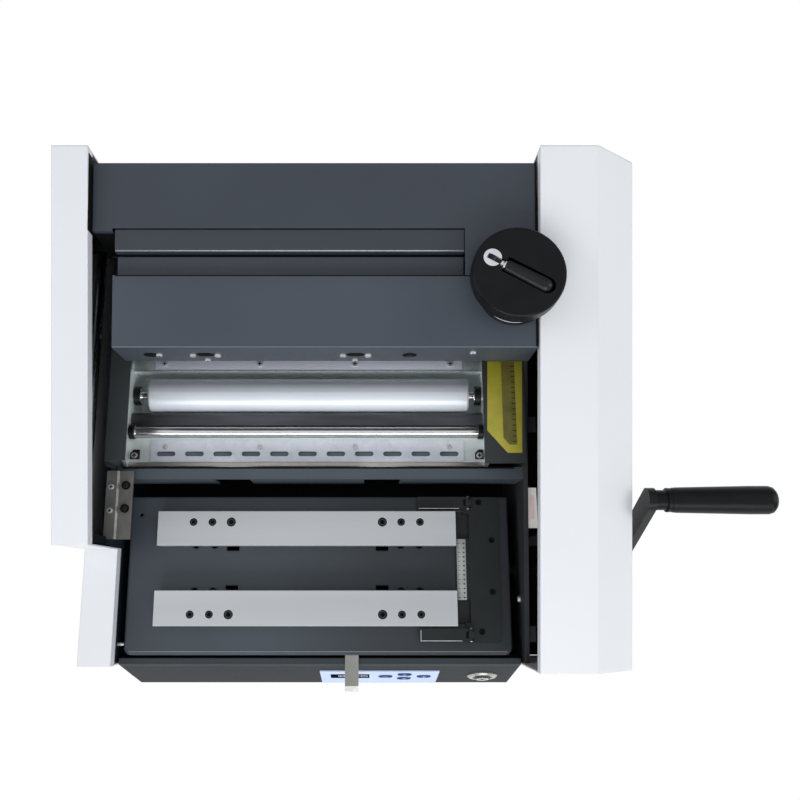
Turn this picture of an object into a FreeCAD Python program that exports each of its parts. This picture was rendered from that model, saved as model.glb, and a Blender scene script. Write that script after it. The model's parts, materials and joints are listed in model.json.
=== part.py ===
import FreeCAD, Part
import math
import os

from FreeCAD import Vector

# Perfect binding machine, in millimetres: X along the spine of the book, +Y to the rear, +Z up.
# Sizes are worked out with X = 0 on the middle of the bed, Y = 0 on the nip line, Z = 0 on the table.

# casings and walls
bed_width = 449.0
bed_front = -105.0
bed_rear = 407.0
casing_sheet = 1.5
casing_top = 341.0
casing_slope = 12.5
casing_flange = 14.0
left_casing_width = 36.5
right_casing_width = 102.0
right_flat_width = 58.0
right_chamfer_drop = 35.0
left_step = 20.0
left_ledge = 152.0
wall_thick = 5.0
wall_gap = 3.0
wall_under = 9.0
wall_margin = 2.0
rear_gap = 4.0
foot_height = 14.0
foot_size = 34.0
foot_inset = 26.0
base_thick = 2.0

# carriage
carriage_front = 212.2
carriage_back = 11.0
carriage_sunk = 12.86
carriage_fall = 31.9
carriage_skirt = 82.7
carriage_sheet = 2.0
carriage_gap = 1.5
carriage_left_inset = 22.3
carriage_wing_depth = 68.1
clamp_line = 307.5
jaw_mouth = 3.0
jaw_thick = 10.0
jaw_depth = 149.7
jaw_left = -201.2
jaw_right = 150.5
jaw_lip = 21.7
jaw_sink = 3.0
jaw_opening = 40.0
rod_d = 16.0
rod_side = 9.5
rod_depth = 103.7
plate_under = 8.0
plate_thick = 8.0
plate_depth = 40.0
bearing_width = 22.0
bearing_height = 28.0
beam_deep = 22.5
beam_rise = 22.0
beam_tall = 40.0
beam_wall = 3.0
guide_d = 12.0
guide_depth = 70.7

# clamp drive
wheel_x = 198.5
wheel_y = 274.0
wheel_d = 91.0
wheel_over = 1.4
seat_d = 76.0
seat_thick = 3.0
wheel_thick = 20.0
hub_d = 36.0
handle_angle = -28.9
pivot_radius = 29.0
handle_d = 15.5
handle_length = 50.0
handle_start = 14.6
clevis_d = 17.6
clevis_depth = 15.0
eye_d = 9.0
eye_width = 5.0
shaft_d = 12.0
screw_d = 14.0
mitre_teeth = 18
mitre_module = 1.5
mitre_face = 7.0

# nipping station
bar_length = 335.0
bar_width = 38.4
bar_gap = 49.0
bar_top = 147.0
bar_centre = -15.0
screw_row = 50.5
post_spacing = 85.0
screw_pitch = 21.2
post_size = 12.0
table_top = 127.0
table_sheet = 2.5
table_left = -218.5
table_right = 214.9
table_front = -95.0
table_rear = 80.5
table_rim = 10.0
nip_travel = 24.0
cam_shaft_z = 85.0
cam_shaft_d = 14.0
cam_start = 20.0
cam_width = 12.0
cam_left = -160.0
cam_right = 130.0
lever_sweep = 75.0
pin_d = 8.0
pin_z = 50.0
slot_plate_thick = 4.0
guide_post_d = 10.0

# lever
arm_width = 25.0
arm_thick = 8.0
arm_clear = 15.5
lever_hub_d = 40.0
grip_y = 66.0
grip_z = 238.0
grip_length = 108.5
grip_inner_d = 26.0
grip_outer_d = 29.0
collar_length = 16.0

# glue station
roller_d = 40.0
roller_y = 200.0
roller_z = 129.0
roller_left = -202.5
roller_right = 171.5
rod_roller_d = 11.0
pan_left = -226.5
pan_right = 192.0
pan_front = 114.0
pan_rear = 245.0
pan_rim = 142.0
pan_floor = 90.0
pan_sheet = 3.0
pan_ends_top = 150.0
pan_end_sheet = 4.0
gear_module = 2.0
roller_teeth = 32
rod_teeth = 16
motor_teeth = 12
gear_width = 8.0
slot_count = 11
slot_first = -179.0
slot_last = 147.5
front_plate_left = -197.0
front_plate_right = 164.6
left_shelf_top = 212.0
right_shelf_top = 190.0
left_shelf_edge = -205.5
right_shelf_edge = 181.5
shelf_front = 111.0
shelf_rear = 248.0
beam_front = 97.5
beam_depth = 13.5
beam_height = 160.0

# front panel
panel_top = 122.0
panel_lean = 30.5
panel_sheet = 2.0
panel_flange = 6.5
label_width = 138.0
label_height = 71.0
label_x = 67.4
label_centre = 0.64
key_width = 16.0
key_height = 11.0
switch_d = 35.0
switch_x = 188.6
strip_x = 35.8
strip_width = 15.0
strip_reach = 40.0

# milling head
cutter_d = 100.0
cutter_gap = 26.0
cutter_teeth = 12
cutter_travel = 300.0
cutter_rod_d = 12.0
cutter_rod_z = 60.0
cutter_rod_spacing = 68.0
cutter_start = -158.0

clear = 0.3
running = 0.06

half_bed = bed_width / 2
wall_in = half_bed + wall_gap
wall_out = wall_in + wall_thick
floor_z = foot_height + base_thick
left_out = -half_bed - left_casing_width
right_out = half_bed + right_casing_width
slope = math.tan(math.radians(casing_slope))
panel_foot_y = bed_front - panel_lean
rod_x = wall_out + rod_side + 2.5
lever_x = right_out + arm_clear
grip_x = lever_x + arm_thick / 2 + collar_length
grip_end = grip_x + grip_length
bar_in = bar_gap / 2
bar_out = bar_in + bar_width
bar_left = bar_centre - bar_length / 2
bar_right = bar_centre + bar_length / 2
cam_radius = nip_travel / math.radians(lever_sweep)
carriage_rear = bed_rear - carriage_back
carriage_top_rear = casing_top - carriage_back * slope - carriage_sunk
carriage_wall_bottom = carriage_top_rear - carriage_skirt
carriage_travel = clamp_line
rod_z = carriage_top_rear - rod_depth
plate_z = rod_z - plate_under
wall_top = plate_z - wall_under
beam_top = plate_z + beam_rise
beam_bottom = beam_top - beam_tall
guide_z = carriage_top_rear - guide_depth
screw_z = guide_z
jaw_bottom = carriage_top_rear - jaw_depth
cutter_top = jaw_bottom - cutter_gap
plate_front = clamp_line + jaw_mouth / 2 + jaw_thick + beam_deep
stand_front = plate_front + plate_depth + 3
wheel_top = casing_top - (bed_rear - wheel_y - wheel_d / 2) * slope + wheel_over + wheel_thick
bed_back = bed_rear + 1.0
shift = Vector(-(left_out + grip_end) / 2, -(panel_foot_y + bed_back) / 2, 0)


def block(x0, x1, y0, y1, z0, z1):
    return Part.makeBox(x1 - x0, y1 - y0, z1 - z0, Vector(x0, y0, z0))


def extruded(points, step):
    outline = Part.makePolygon(points + [points[0]])
    return Part.Face(outline).extrude(step)


def along_x(points, x0, x1):
    return extruded([Vector(x0, y, z) for y, z in points], Vector(x1 - x0, 0, 0))


def along_y(points, y0, y1):
    return extruded([Vector(x, y0, z) for x, z in points], Vector(0, y1 - y0, 0))


def along_z(points, z0, z1):
    return extruded([Vector(x, y, z0) for x, y in points], Vector(0, 0, z1 - z0))


def rod_x_axis(d, x0, x1, y, z):
    return Part.makeCylinder(d / 2, x1 - x0, Vector(x0, y, z), Vector(1, 0, 0))


def rod_y_axis(d, y0, y1, x, z):
    return Part.makeCylinder(d / 2, y1 - y0, Vector(x, y0, z), Vector(0, 1, 0))


def rod_z_axis(d, z0, z1, x, y):
    return Part.makeCylinder(d / 2, z1 - z0, Vector(x, y, z0), Vector(0, 0, 1))


def fused(shapes):
    return shapes[0].multiFuse(shapes[1:]).removeSplitter()


def slot_y(x, y0, y1, width, z0, z1):
    ends = [rod_z_axis(width, z0, z1, x, y) for y in (y0, y1)]
    return fused([block(x - width / 2, x + width / 2, y0, y1, z0, z1)] + ends)


def slot_x(x0, x1, y, width, z0, z1):
    ends = [rod_z_axis(width, z0, z1, x, y) for x in (x0, x1)]
    return fused([block(x0, x1, y - width / 2, y + width / 2, z0, z1)] + ends)


def save(name, shape):
    placed = shape.copy()
    placed.translate(shift)
    placed.exportStep("parts/" + name + ".step")


def casing_line(y, drop=0.0):
    return casing_top - drop - (bed_rear - y) * slope


# A casing body with a flat foot and a top that falls to the front.
def casing_body(x0, x1, y0, y1, z0, drop):
    side = [(y0, z0), (y1, z0), (y1, casing_line(y1, drop)), (y0, casing_line(y0, drop))]
    return along_x(side, x0, x1)


# The outer long edge of the right casing is cut off by a slanted plane that runs with the top.
def chamfer_cut(inset):
    x0 = half_bed + right_flat_width - inset * 0.3
    x1 = right_out - inset + 1.0
    rise = right_chamfer_drop * (x1 - x0) / (right_casing_width - right_flat_width)
    run = bed_rear - bed_front + 20
    z = casing_line(bed_front - 10, inset)
    points = [(x0, z), (x1, z - rise), (x1, z + 20), (x0, z + 20)]
    outline = [Vector(x, bed_front - 10, height) for x, height in points]
    return extruded(outline, Vector(0, run, run * slope))


# The long opening in a casing's inner side, below its folded flange.
def inner_opening(x0, x1, y0, y1, z0):
    return casing_body(x0, x1, y0, y1, z0, casing_flange)


def left_upper_cover():
    s = casing_sheet
    outer = casing_body(left_out, -half_bed, left_step, bed_rear, left_ledge, 0)
    inner = casing_body(left_out + s, -half_bed - s, left_step + s, bed_rear - s, left_ledge - 1, s)
    opening = inner_opening(-half_bed - s - 1, -half_bed + 1, left_step + s, bed_rear - s, left_ledge - 1)
    return outer.cut(inner).cut(opening)


def left_base_cover():
    s = casing_sheet
    outer = block(left_out, -half_bed, bed_front, bed_rear, floor_z, left_ledge)
    inner = block(left_out + s, -half_bed - s, bed_front + s, bed_rear - s, floor_z - 1, left_ledge - s)
    open_top = block(left_out + s, -half_bed + 1, left_step + s, bed_rear - s, floor_z - 1, left_ledge + 1)
    open_side = block(-half_bed - s - 1, -half_bed + 1, bed_front + s, left_step + s, floor_z - 1,
                      left_ledge - casing_flange)
    return outer.cut(inner).cut(open_top).cut(open_side)


def right_cover():
    s = casing_sheet
    outer = casing_body(half_bed, right_out, bed_front, bed_rear, floor_z, 0)
    outer = outer.cut(chamfer_cut(0))
    inner = casing_body(half_bed + s, right_out - s, bed_front + s, bed_rear - s, floor_z - 1, s)
    inner = inner.cut(chamfer_cut(s))
    opening = inner_opening(half_bed - 1, half_bed + s + 1, bed_front + s, bed_rear - s, floor_z - 1)
    shaft_hole = rod_x_axis(cam_shaft_d + 6, right_out - 5, right_out + 5, 0, cam_shaft_z)
    return outer.cut(inner).cut(opening).cut(shaft_hole)


left_wall_seat = left_ledge + 18.0
support_depth = 9.0
left_wall_seat_rear = 108.0
wall_front_z = 132.0
wall_rise_y = 170.0
tab_top = 151.5
tab_sheet = 1.5
tab_low = -17.0


def left_side_wall():
    y0 = bed_front + wall_margin
    y1 = bed_rear - rear_gap
    points = [(y0, floor_z), (y1, floor_z), (y1, wall_top), (wall_rise_y, wall_top)]
    points += [(left_wall_seat_rear, left_wall_seat + 20), (left_wall_seat_rear, left_wall_seat)]
    points += [(left_step + 2, left_wall_seat), (left_step + 2, left_ledge - 12), (y0, left_ledge - 12)]
    return along_x(points, -wall_out, -wall_in)


def right_side_wall():
    y0 = bed_front + wall_margin
    y1 = bed_rear - rear_gap
    points = [(y0, floor_z), (y1, floor_z), (y1, wall_top), (wall_rise_y + 130, wall_top)]
    points += [(left_wall_seat_rear, left_wall_seat - 3), (y0, wall_front_z)]
    wall = along_x(points, wall_in, wall_out)
    tabs = [block(wall_out - 1, wall_out + out, y, y + length, tab_top - tab_sheet, tab_top)
            for out, y, length in ((11.5, 43.0, 46.0), (7.5, -80.3, 17.0), (14.0, 152.6, 17.5))]
    tabs = [tab if tab.BoundBox.YMin > 0 else tab.translated(Vector(0, 0, tab_low)) for tab in tabs]
    return fused([wall] + tabs).cut(rod_x_axis(cam_shaft_d + 4, wall_in - 1, wall_out + 1, 0, cam_shaft_z))


def base_plate():
    x0 = left_out + casing_sheet + 0.5
    x1 = right_out - casing_sheet - 0.5
    deck = block(x0, x1, bed_front + casing_sheet + 0.5, bed_rear - casing_sheet - 0.5,
                 foot_height, floor_z)
    apron = block(-half_bed, half_bed, panel_foot_y + panel_sheet, bed_front + 10, foot_height, floor_z)
    vents = []
    for i in range(6):
        y = 265 + i * 16
        vents.append(slot_x(60, 120, y, 6, foot_height - 1, floor_z + 1))
    return fused([deck, apron]).cut(Part.makeCompound(vents))


def rubber_feet():
    feet = []
    for x in (left_out + foot_inset, right_out - foot_inset):
        for y in (bed_front + foot_inset, bed_rear - foot_inset):
            cone = Part.makeCone(foot_size / 2 - 2, foot_size / 2, foot_height, Vector(x, y, 0))
            recess = rod_z_axis(12, -1, 4, x, y)
            feet.append(cone.cut(recess))
    return Part.makeCompound(feet)


def rear_panel():
    y0 = bed_rear - rear_gap + clear
    y1 = y0 + panel_sheet
    top = carriage_wall_bottom + 7
    panel = block(-wall_out, wall_out, y0, y1, floor_z, top)
    lip = block(-wall_in + 1, wall_in - 1, y0 - 10, y0, top - 53, top - 51)
    vents = []
    for i in range(8):
        x = -60 + i * 22
        vents.append(block(x, x + 8, y0 - 1, y1 + 1, 60, 110))
    socket = block(inlet_x - 13.5, inlet_x + 13.5, y0 - 1, y1 + 1, inlet_z - 9.5, inlet_z + 9.5)
    return fused([panel, lip]).cut(Part.makeCompound(vents + [socket]))


inlet_x = 160.0
inlet_z = 60.0


def power_inlet():
    y0 = bed_rear - rear_gap + clear + panel_sheet
    flange = block(inlet_x - 24, inlet_x + 24, y0, y0 + 2.5, inlet_z - 14, inlet_z + 14)
    body = block(inlet_x - 13, inlet_x + 13, y0 - 18, y0, inlet_z - 9, inlet_z + 9)
    well = block(inlet_x - 11, inlet_x + 11, y0 - 13, y0 + 4, inlet_z - 7, inlet_z + 7)
    pins = [block(inlet_x + dx - 1, inlet_x + dx + 1, y0 - 14, y0 - 2, inlet_z - 2, inlet_z + 2)
            for dx in (-7, 0, 7)]
    return fused([flange, body]).cut(well).fuse(pins)


# A point on the leaning panel: t is 0 at its top edge and 1 at its foot, out is the distance off it.
def panel_point(x, t, out):
    fall = panel_top - floor_z
    length = math.hypot(fall, panel_lean)
    ny = -fall / length
    nz = panel_lean / length
    return Vector(x, bed_front - panel_lean * t + ny * out, panel_top - fall * t + nz * out)


panel_length = math.hypot(panel_top - floor_z, panel_lean)
panel_angle = math.degrees(math.atan2(panel_lean, panel_top - floor_z))
panel_normal = panel_point(0, 0, 1) - panel_point(0, 0, 0)


# Puts a shape drawn flat (x right, y up, z out) on the leaning panel.
def on_panel(shape, x, t, out):
    placed = shape.copy()
    placed.rotate(Vector(0, 0, 0), Vector(1, 0, 0), 90 - panel_angle)
    placed.translate(panel_point(x, t, out))
    return placed


def oval(width, height, depth):
    half = (width - height) / 2
    disc = Part.makeCylinder(height / 2, depth)
    left = disc.translated(Vector(-half, 0, 0))
    right = disc.translated(Vector(half, 0, 0))
    middle = Part.makeBox(2 * half, height, depth, Vector(-half, -height / 2, 0))
    return fused([middle, left, right])


key_seats = {
    "key_left": (label_x + 7.3, 0.575),
    "key_up": (label_x + 29.4, 0.47),
    "key_down": (label_x + 29.4, 0.68),
    "key_right": (label_x + 52.4, 0.575),
}
label_thick = 1.2
key_depth = 3.2
key_travel = 0.8


def front_panel():
    s = panel_sheet
    y0 = bed_front
    back = y0 + panel_flange
    points = [(y0, panel_top), (panel_foot_y, floor_z), (panel_foot_y, foot_height)]
    points += [(panel_foot_y + s, foot_height), (panel_foot_y + s, floor_z + s * 0.1)]
    points += [(y0 + s, panel_top - s), (back - s, panel_top - s), (back - s, panel_top - 10)]
    points += [(back, panel_top - 10), (back, panel_top)]
    panel = along_x(points, -half_bed, half_bed)
    cuts = [on_panel(Part.makeCylinder(switch_d / 2 - 4, 8), switch_x, 0.565, -6)]
    for x, t in key_seats.values():
        cuts.append(on_panel(oval(key_width + 1, key_height + 1, 8), x, t, -6))
    return panel.cut(Part.makeCompound(cuts))


display_x = label_x - 34.5
display_width = 45.7
display_height = 24.0


def control_plate():
    plate = Part.makeBox(label_width, label_height, label_thick,
                         Vector(-label_width / 2, -label_height / 2, 0))
    plate = on_panel(plate, label_x, label_centre, 0)
    cuts = []
    for x, t in key_seats.values():
        cuts.append(on_panel(oval(key_width + 1, key_height + 1, 4), x, t, -1))
    window = Part.makeBox(display_width, display_height, 4,
                          Vector(-display_width / 2, -display_height / 2, 0))
    cuts.append(on_panel(window, display_x, 0.58, -1))
    return plate.cut(Part.makeCompound(cuts))


def display_window():
    pane = Part.makeBox(display_width - 0.2, display_height - 0.2, label_thick - 0.2,
                        Vector(-display_width / 2 + 0.1, -display_height / 2 + 0.1, 0))
    return on_panel(pane, display_x, 0.58, 0)


def key(name):
    x, t = key_seats[name]
    cap = oval(key_width, key_height, key_depth)
    return on_panel(cap, x, t, label_thick + 0.9 - key_depth)


def switch_bezel():
    profile = [(switch_d / 2, 0), (switch_d / 2, 1.2), (switch_d / 2 - 2, 3), (switch_d / 2 - 6, 3)]
    profile += [(switch_d / 2 - 6, -7), (switch_d / 2 - 4.2, -7), (switch_d / 2 - 4.2, 0)]
    return on_panel(revolved(profile), switch_x, 0.565, 0)


def revolved(profile):
    points = [Vector(r, 0, z) for r, z in profile]
    face = Part.Face(Part.makePolygon(points + [points[0]]))
    return face.revolve(Vector(0, 0, 0), Vector(0, 0, 1), 360)


def switch_plug():
    r = switch_d / 2 - 6 - running
    profile = [(0, -6), (r, -6), (r, 1.5), (r - 1, 2.2), (0, 2.2)]
    plug = revolved(profile)
    blade = Part.makeBox(2 * r - 5, 5, 4, Vector(-r + 2.5, -2.5, 1.0))
    slot = Part.makeBox(1.4, 7, 3, Vector(-0.7, -3.5, 3.0))
    return on_panel(plug.fuse(blade).cut(slot).removeSplitter(), switch_x, 0.565, 0)


notch_half = 20.5


def cross_beam():
    y0 = beam_front
    y1 = beam_front + beam_depth
    s = 2.0
    low = 112.0
    points = [(y0, low), (y0, beam_height), (y1, beam_height), (y1, beam_height - 12)]
    points += [(y1 - s, beam_height - 12), (y1 - s, beam_height - s)]
    points += [(y0 + s, beam_height - s), (y0 + s, low)]
    web = along_x(points, -wall_in, wall_in)
    top = beam_height - 6
    notches = [block(x - notch_half, x + notch_half, y0 - 1, y0 + s + 1, low - 1, top) for x in post_xs]
    return web.cut(Part.makeCompound(notches))


def shelf(x_edge, x_wall, top, bottom):
    s = 1.5
    inward = 1 if x_wall > x_edge else -1
    plate = block(min(x_edge, x_wall), max(x_edge, x_wall), shelf_front, shelf_rear, top - s, top)
    far = sorted((x_wall - inward * s, x_wall))
    web = block(far[0], far[1], shelf_front, shelf_rear, bottom, top)
    return fused([plate, web])


def left_shelf():
    return shelf(left_shelf_edge, -wall_in, left_shelf_top, pan_ends_top + 2)


def right_shelf():
    return shelf(right_shelf_edge, wall_in, right_shelf_top, pan_ends_top + 2)


def left_bracket():
    y0 = left_step + 10
    y1 = y0 + 75
    z = left_wall_seat
    points = [(-wall_out - 3, z), (-wall_out - 3, z + 2.5), (-wall_in + 3.5, z + 2.5)]
    points += [(-wall_in + 5.5, z + 0.5), (-wall_in + 21, z + 0.5), (-wall_in + 21, z - 2)]
    points += [(-wall_in + 4.5, z - 2), (-wall_in + 2.5, z)]
    plate = along_y(points, y0, y1)
    holes = [rod_z_axis(9.5, z - 5, z + 5, -wall_in + 13.3, y0 + dy) for dy in (33.5, 59)]
    holes.append(block(-wall_out - 4, -wall_out, y0 - 1, left_step + 4 + support_depth, z - 1, z + 4))
    screws = [rod_z_axis(6, z + 2.5, z + 4, -wall_in - 2, y0 + dy) for dy in (31, 57)]
    return fused([plate.cut(Part.makeCompound(holes))] + screws)


# --- glue station
rod_drop = pan_ends_top - 6.5 - roller_z
gear_distance = gear_module * (roller_teeth + rod_teeth) / 2
rod_y = roller_y - math.sqrt(gear_distance ** 2 - rod_drop ** 2)
rod_roller_z = roller_z + rod_drop
motor_distance = gear_module * (roller_teeth + motor_teeth) / 2
motor_y = roller_y + motor_distance * math.cos(math.radians(-47))
motor_z = roller_z + motor_distance * math.sin(math.radians(-47))
gear_x = pan_right + 5.0
well_front = pan_front + 34.0
well_rear = pan_rear - 14.0


def glue_pan():
    s = pan_sheet
    z1 = pan_rim - s
    points = [(pan_front, z1 - 22), (pan_front, z1 - 4), (pan_front + 4, z1), (well_front, z1)]
    points += [(well_front + s, z1 - s), (well_front + s, pan_floor + 12), (well_front + 14, pan_floor + s)]
    points += [(well_rear - 14, pan_floor + s), (well_rear - s, pan_floor + 12), (well_rear - s, z1 - s)]
    points += [(well_rear, z1), (pan_rear, z1), (pan_rear, z1 - s), (well_rear, z1 - s)]
    points += [(well_rear, pan_floor + 10), (well_rear - 12, pan_floor), (well_front + 12, pan_floor)]
    points += [(well_front, pan_floor + 10), (well_front, z1 - s), (pan_front + s, z1 - s - 3)]
    points += [(pan_front + s, z1 - 22)]
    trough = along_x(points, pan_left + pan_end_sheet, pan_right - pan_end_sheet)
    window = block(slot_first - 12, slot_last + 12, pan_front + 11, pan_front + 19, z1 - s - 1, z1 + 1)
    trough = trough.cut(window)
    heater = block(pan_left + 40, pan_right - 40, roller_y - 20, roller_y + 4, pan_floor - 9, pan_floor)
    legs = [block(x - 10, x + 10, roller_y - 16, roller_y, floor_z, pan_floor - 9) for x in (-130, 100)]
    return fused([trough, heater] + legs)


def pan_front_plate():
    z0 = pan_rim - pan_sheet
    plate = block(front_plate_left, front_plate_right, pan_front + 6, well_front - 3, z0, z0 + 1.5)
    slots = []
    pitch = (slot_last - slot_first) / (slot_count - 1)
    for i in range(slot_count):
        x = slot_first + i * pitch
        slots.append(slot_x(x - 8, x + 8, pan_front + 15, 5.5, z0 - 1, z0 + 3))
    return plate.cut(Part.makeCompound(slots))


def pan_end(x0, x1):
    z1 = pan_ends_top
    points = [(pan_front, 112), (pan_front, z1 - 8), (pan_front + 5, z1), (rod_y - 12, z1)]
    points += [(rod_y + 12, z1), (roller_y + 26, z1), (pan_rear - 3, z1 - 10), (pan_rear - 3, pan_floor)]
    points += [(well_rear - 12, pan_floor - 8), (well_front + 12, pan_floor - 8)]
    plate = along_x(points, x0, x1)
    bores = [rod_x_axis(10 + 2 * running, x0 - 1, x1 + 1, roller_y, roller_z),
             rod_x_axis(7 + 2 * running, x0 - 1, x1 + 1, rod_y, rod_roller_z)]
    return plate.cut(Part.makeCompound(bores))


def pan_end_plates():
    t = pan_end_sheet
    return Part.makeCompound([pan_end(pan_left, pan_left + t), pan_end(pan_right - t, pan_right)])


def glue_scraper():
    gap = roller_d / 2 + 0.8
    y0 = rod_y + rod_roller_d / 2 + 3
    y1 = roller_y - gap - 1
    z0 = pan_rim - pan_sheet
    points = [(y0, z0 - 9), (y0, z0 - 1), (y1 - 3, z0 - 1), (y1, z0 - 4), (y1 - 1.5, z0 - 5)]
    points += [(y1 - 4, z0 - 2.5), (y0 + 1.5, z0 - 2.5), (y0 + 1.5, z0 - 9)]
    return along_x(points, pan_left + pan_end_sheet, pan_right - pan_end_sheet)


def glue_roller():
    barrel = rod_x_axis(roller_d, roller_left, roller_right, roller_y, roller_z)
    barrel = barrel.makeChamfer(2.0, barrel.Edges)
    bore = rod_x_axis(10, roller_left - 1, roller_right + 1, roller_y, roller_z)
    return barrel.cut(bore)


def involute(angle):
    return math.tan(angle) - angle


# A spur gear on the Z axis, its first tooth towards +X.
def spur_gear(teeth, module, width, backlash, bore):
    pitch_r = teeth * module / 2
    base_r = pitch_r * math.cos(math.radians(20))
    tip_r = pitch_r + module
    root_r = pitch_r - 1.25 * module
    start_r = max(base_r, root_r)
    half = math.pi / 2 / teeth - backlash / 2 / pitch_r
    whole = half + involute(math.radians(20))
    radii = [start_r + (tip_r - start_r) * i / 3 for i in range(4)]
    flank = [(root_r, whole)] if start_r > root_r else []
    flank += [(r, whole - involute(math.acos(min(1.0, base_r / r)))) for r in radii]
    points = []
    for i in range(teeth):
        middle = 2 * math.pi * i / teeth
        for r, a in flank:
            points.append((r * math.cos(middle - a), r * math.sin(middle - a)))
        for r, a in reversed(flank):
            points.append((r * math.cos(middle + a), r * math.sin(middle + a)))
    return along_z(points, 0, width).cut(rod_z_axis(bore, -1, width + 1, 0, 0))


# Turns a gear drawn on Z so that it lies on an X shaft, with its first tooth at angle turn from +Y.
def gear_on_x(gear, turn, x, y, z):
    placed = gear.copy()
    placed.rotate(Vector(0, 0, 0), Vector(0, 0, 1), turn)
    placed.rotate(Vector(0, 0, 0), Vector(1, 0, 0), 90)
    placed.rotate(Vector(0, 0, 0), Vector(0, 0, 1), 90)
    placed.translate(Vector(x, y, z))
    return placed


to_rod = math.degrees(math.atan2(rod_drop, rod_y - roller_y))
to_motor = -47.0


collar_d = 19.0
collar_width = 9.0
cap_d = 15.0


def roller_shaft():
    shaft = rod_x_axis(10, pan_left, gear_x + gear_width + 2, roller_y, roller_z)
    inner_left = pan_left + pan_end_sheet + clear
    inner_right = pan_right - pan_end_sheet - clear
    hubs = [rod_x_axis(collar_d, inner_left, inner_left + collar_width, roller_y, roller_z),
            rod_x_axis(collar_d, inner_right - collar_width, inner_right, roller_y, roller_z)]
    gear = spur_gear(roller_teeth, gear_module, gear_width, 0.25, 9)
    gear = gear_on_x(gear, to_rod, gear_x, roller_y, roller_z)
    return fused([shaft] + hubs + [gear])


def rod_roller():
    journal = rod_x_axis(7, pan_left, gear_x + gear_width + 2, rod_y, rod_roller_z)
    inner_left = pan_left + pan_end_sheet + clear
    inner_right = pan_right - pan_end_sheet - clear
    barrel = rod_x_axis(rod_roller_d, inner_left + 1, inner_right - 1, rod_y, rod_roller_z)
    hubs = [rod_x_axis(cap_d, inner_left, inner_left + collar_width - 1, rod_y, rod_roller_z),
            rod_x_axis(cap_d, inner_right - collar_width + 2, inner_right, rod_y, rod_roller_z)]
    gear = spur_gear(rod_teeth, gear_module, gear_width, 0.25, 6)
    gear = gear_on_x(gear, to_rod + 180 + 180 / rod_teeth, gear_x, rod_y, rod_roller_z)
    return fused([journal, barrel] + hubs + [gear])


def motor_pinion():
    gear = spur_gear(motor_teeth, gear_module, gear_width, 0.25, 5)
    tooth = to_motor - to_rod
    slip = (tooth * roller_teeth / motor_teeth) % (360 / motor_teeth)
    gear = gear_on_x(gear, to_motor + 180 + 180 / motor_teeth + slip, gear_x, motor_y, motor_z)
    shaft = rod_x_axis(6, gear_x, wall_in - 8, motor_y, motor_z)
    return fused([gear, shaft])


def gear_motor():
    x0 = gear_x + gear_width + 4
    can = rod_x_axis(38, x0, wall_in, motor_y, motor_z)
    can = can.cut(rod_x_axis(6 + 2 * running, x0 - 1, wall_in - 7, motor_y, motor_z))
    ears = block(wall_in - 3, wall_in, motor_y - 24, motor_y + 24, motor_z - 8, motor_z + 8)
    return fused([can, ears.cut(rod_x_axis(30, x0, wall_in + 1, motor_y, motor_z))])


# --- milling head
def cutter_slide():
    x = cutter_start
    body = block(x - 30, x + 30, clamp_line - 46, clamp_line + 46, cutter_rod_z - 14, cutter_rod_z + 14)
    motor = rod_z_axis(56, floor_z + 6, cutter_top - 22, x, clamp_line)
    bores = []
    for side in (-1, 1):
        y = clamp_line + side * cutter_rod_spacing / 2
        bores.append(rod_x_axis(cutter_rod_d + 2 * running, x - 31, x + 31, y, cutter_rod_z))
    spindle_bore = rod_z_axis(14 + 2 * running, cutter_top - 50, cutter_top, x, clamp_line)
    return fused([body, motor]).cut(Part.makeCompound(bores + [spindle_bore]))


def cutter_disc():
    x = cutter_start
    low = cutter_top - 20
    disc = rod_z_axis(cutter_d, low + 2, low + 12, x, clamp_line)
    spindle = rod_z_axis(14, cutter_top - 48, low + 2, x, clamp_line)
    boss = rod_z_axis(30, low + 12, low + 16, x, clamp_line)
    tooth = block(cutter_d / 2 - 12, cutter_d / 2 - 2, -2, 2, low + 12, cutter_top)
    teeth = []
    for i in range(cutter_teeth):
        one = tooth.copy()
        one.rotate(Vector(0, 0, 0), Vector(0, 0, 1), 360 * i / cutter_teeth)
        one.translate(Vector(x, clamp_line, 0))
        teeth.append(one)
    return fused([disc, spindle, boss] + teeth)


# --- carriage guides
def guide_rods():
    y0 = left_step + 3
    y1 = bed_rear - rear_gap + 0.5
    rods = [rod_y_axis(rod_d, y0, y1, side * rod_x, rod_z) for side in (-1, 1)]
    for side in (-1, 1):
        y = clamp_line + side * cutter_rod_spacing / 2
        rods.append(rod_x_axis(cutter_rod_d, -wall_in, wall_in, y, cutter_rod_z))
    return Part.makeCompound(rods)


def rod_supports():
    supports = []
    for side in (-1, 1):
        for y in (left_step + 4, bed_rear - rear_gap - support_depth):
            x = sorted((side * wall_out, side * (rod_x + 12)))
            body = block(x[0], x[1], y, y + support_depth, left_wall_seat - 30, rod_z + 13)
            supports.append(body.cut(rod_y_axis(rod_d, y - 1, y + support_depth + 1, side * rod_x, rod_z)))
    return Part.makeCompound(supports)


def carriage_bearings():
    blocks = [screw_stand(), shaft_bracket()]
    for side in (-1, 1):
        x0 = side * rod_x - bearing_width / 2
        body = block(x0, x0 + bearing_width, plate_front, plate_front + plate_depth,
                     rod_z - bearing_height / 2, rod_z + bearing_height / 2)
        bore = rod_y_axis(rod_d + 2 * running, 0, bed_rear, side * rod_x, rod_z)
        blocks.append(body.cut(bore))
    return Part.makeCompound(blocks)


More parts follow.
